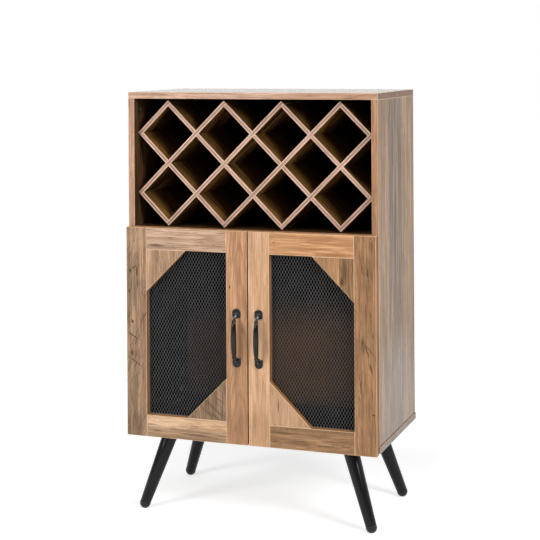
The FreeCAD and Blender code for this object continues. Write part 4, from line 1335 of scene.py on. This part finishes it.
@dataclass
class Studio:
    """Plain floor, white backdrop and soft lights."""

    floor_size: float = 40.0
    backdrop: float = 0.3
    near_glow: float = 0.57
    room: float = 0.35
    overhead: float = 8.0

    def make(self) -> None:
        """Build the stage and the lights."""
        self.floor()
        self.world()
        self.lamp("key_lamp", (-2.0, -3.4, 1.6), (0.0, 0.0, 0.5), 1.2, 70.0)
        self.lamp("fill_lamp", (2.9, -1.7, 2.0), (0.0, 0.0, 0.5), 1.0, 59.0)
        self.lamp("top_lamp", (0.1, -0.9, 3.2), (0.0, 0.0, 0.7), 0.6, 24.0)

    def floor(self) -> None:
        """Add the floor."""
        floor = primitive("studio_floor", bpy.ops.mesh.primitive_plane_add,
                          size=self.floor_size, location=(0.0, 0.0, 0.0))
        paint(floor, WhiteFloor("Studio floor", self.near_glow, 1.0 - 0.88 * self.backdrop))

    def world(self) -> None:
        """White to the eye, soft light for the rest, a dim room with an overhead in a gloss."""
        world = bpy.data.worlds.new("Studio backdrop")
        bpy.context.scene.world = world
        tree = Tree(world)
        seen = tree.add("LightPath")
        way = tree.add("TexCoord")
        split = tree.add("SeparateXYZ", {"Vector": way.outputs["Generated"]})
        room = tree.add("MapRange", {
            "Value": split.outputs["Y"], "From Min": -0.2, "From Max": 0.2,
            "To Min": self.room}, interpolation_type=Ease.SOFT.value)
        above = tree.add("MapRange", {
            "Value": split.outputs["Z"], "From Min": 0.62, "From Max": 0.85,
            "To Max": self.overhead}, interpolation_type=Ease.SOFT.value)
        gloss = tree.add("Math", {0: room, 1: above}, operation="ADD")
        level = tree.add("Mix", {0: seen.outputs["Is Glossy Ray"], 2: self.backdrop, 3: gloss})
        white = tree.add("Math", {0: seen.outputs["Is Camera Ray"], 1: seen.outputs["Is Transmission Ray"]},
            operation="MAXIMUM")
        shown = tree.add("Mix", {0: white, 2: level, 3: 1.0})
        glow = tree.add("Background", {"Color": WHITE, "Strength": shown})
        tree.add("OutputWorld", {"Surface": glow})

    def lamp(self, name: str, place: Sequence[float], target: Sequence[float], size: float,
             watts: float) -> None:
        """Add one soft square lamp.

        Args:
            name: the lamp's name.
            place: its place in metres.
            target: the point that it faces.
            size: its side in metres.
            watts: its power.
        """
        data = bpy.data.lights.new(name, "AREA")
        data.size = size
        data.energy = watts
        lamp = bpy.data.objects.new(name, data)
        lamp.location = place
        aim = Vector(target) - Vector(place)
        lamp.rotation_euler = aim.to_track_quat("-Z", "Y").to_euler()
        bpy.context.scene.collection.objects.link(lamp)


@dataclass
class PhotoCamera:
    """The photograph's camera: level, to the right of the front, with its lens shifted down."""

    place: tuple[float, float, float] = (1.1228, -3.13817, 1.06056)
    azimuth: float = 19.661
    roll: float = 0.35
    focal_px: float = 1420.98
    horizon_px: float = 52.24
    frame_px: float = 540.0
    sensor: float = 36.0

    def make(self) -> None:
        """Add the camera and make it the scene's own."""
        data = bpy.data.cameras.new("photo_camera")
        data.sensor_width = self.sensor
        data.lens = self.sensor * self.focal_px / self.frame_px
        data.shift_y = (self.horizon_px - self.frame_px / 2) / self.frame_px
        camera = bpy.data.objects.new("photo_camera", data)
        camera.location = self.place
        camera.rotation_euler = (math.radians(90.0), math.radians(self.roll), math.radians(self.azimuth))
        bpy.context.scene.collection.objects.link(camera)
        bpy.context.scene.camera = camera


def main() -> None:
    """Build the whole scene."""
    logging.basicConfig(level=logging.INFO, format="%(name)s: %(message)s")
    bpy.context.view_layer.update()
    bpy.context.scene.view_settings.view_transform = "Standard"
    Fittings().make()
    Carcass().make()
    WineRack().make()
    Door("left_door").make()
    Door("right_door").make()
    Legs().make()
    Studio().make()
    PhotoCamera().make()


if __name__ == "__main__":
    main()
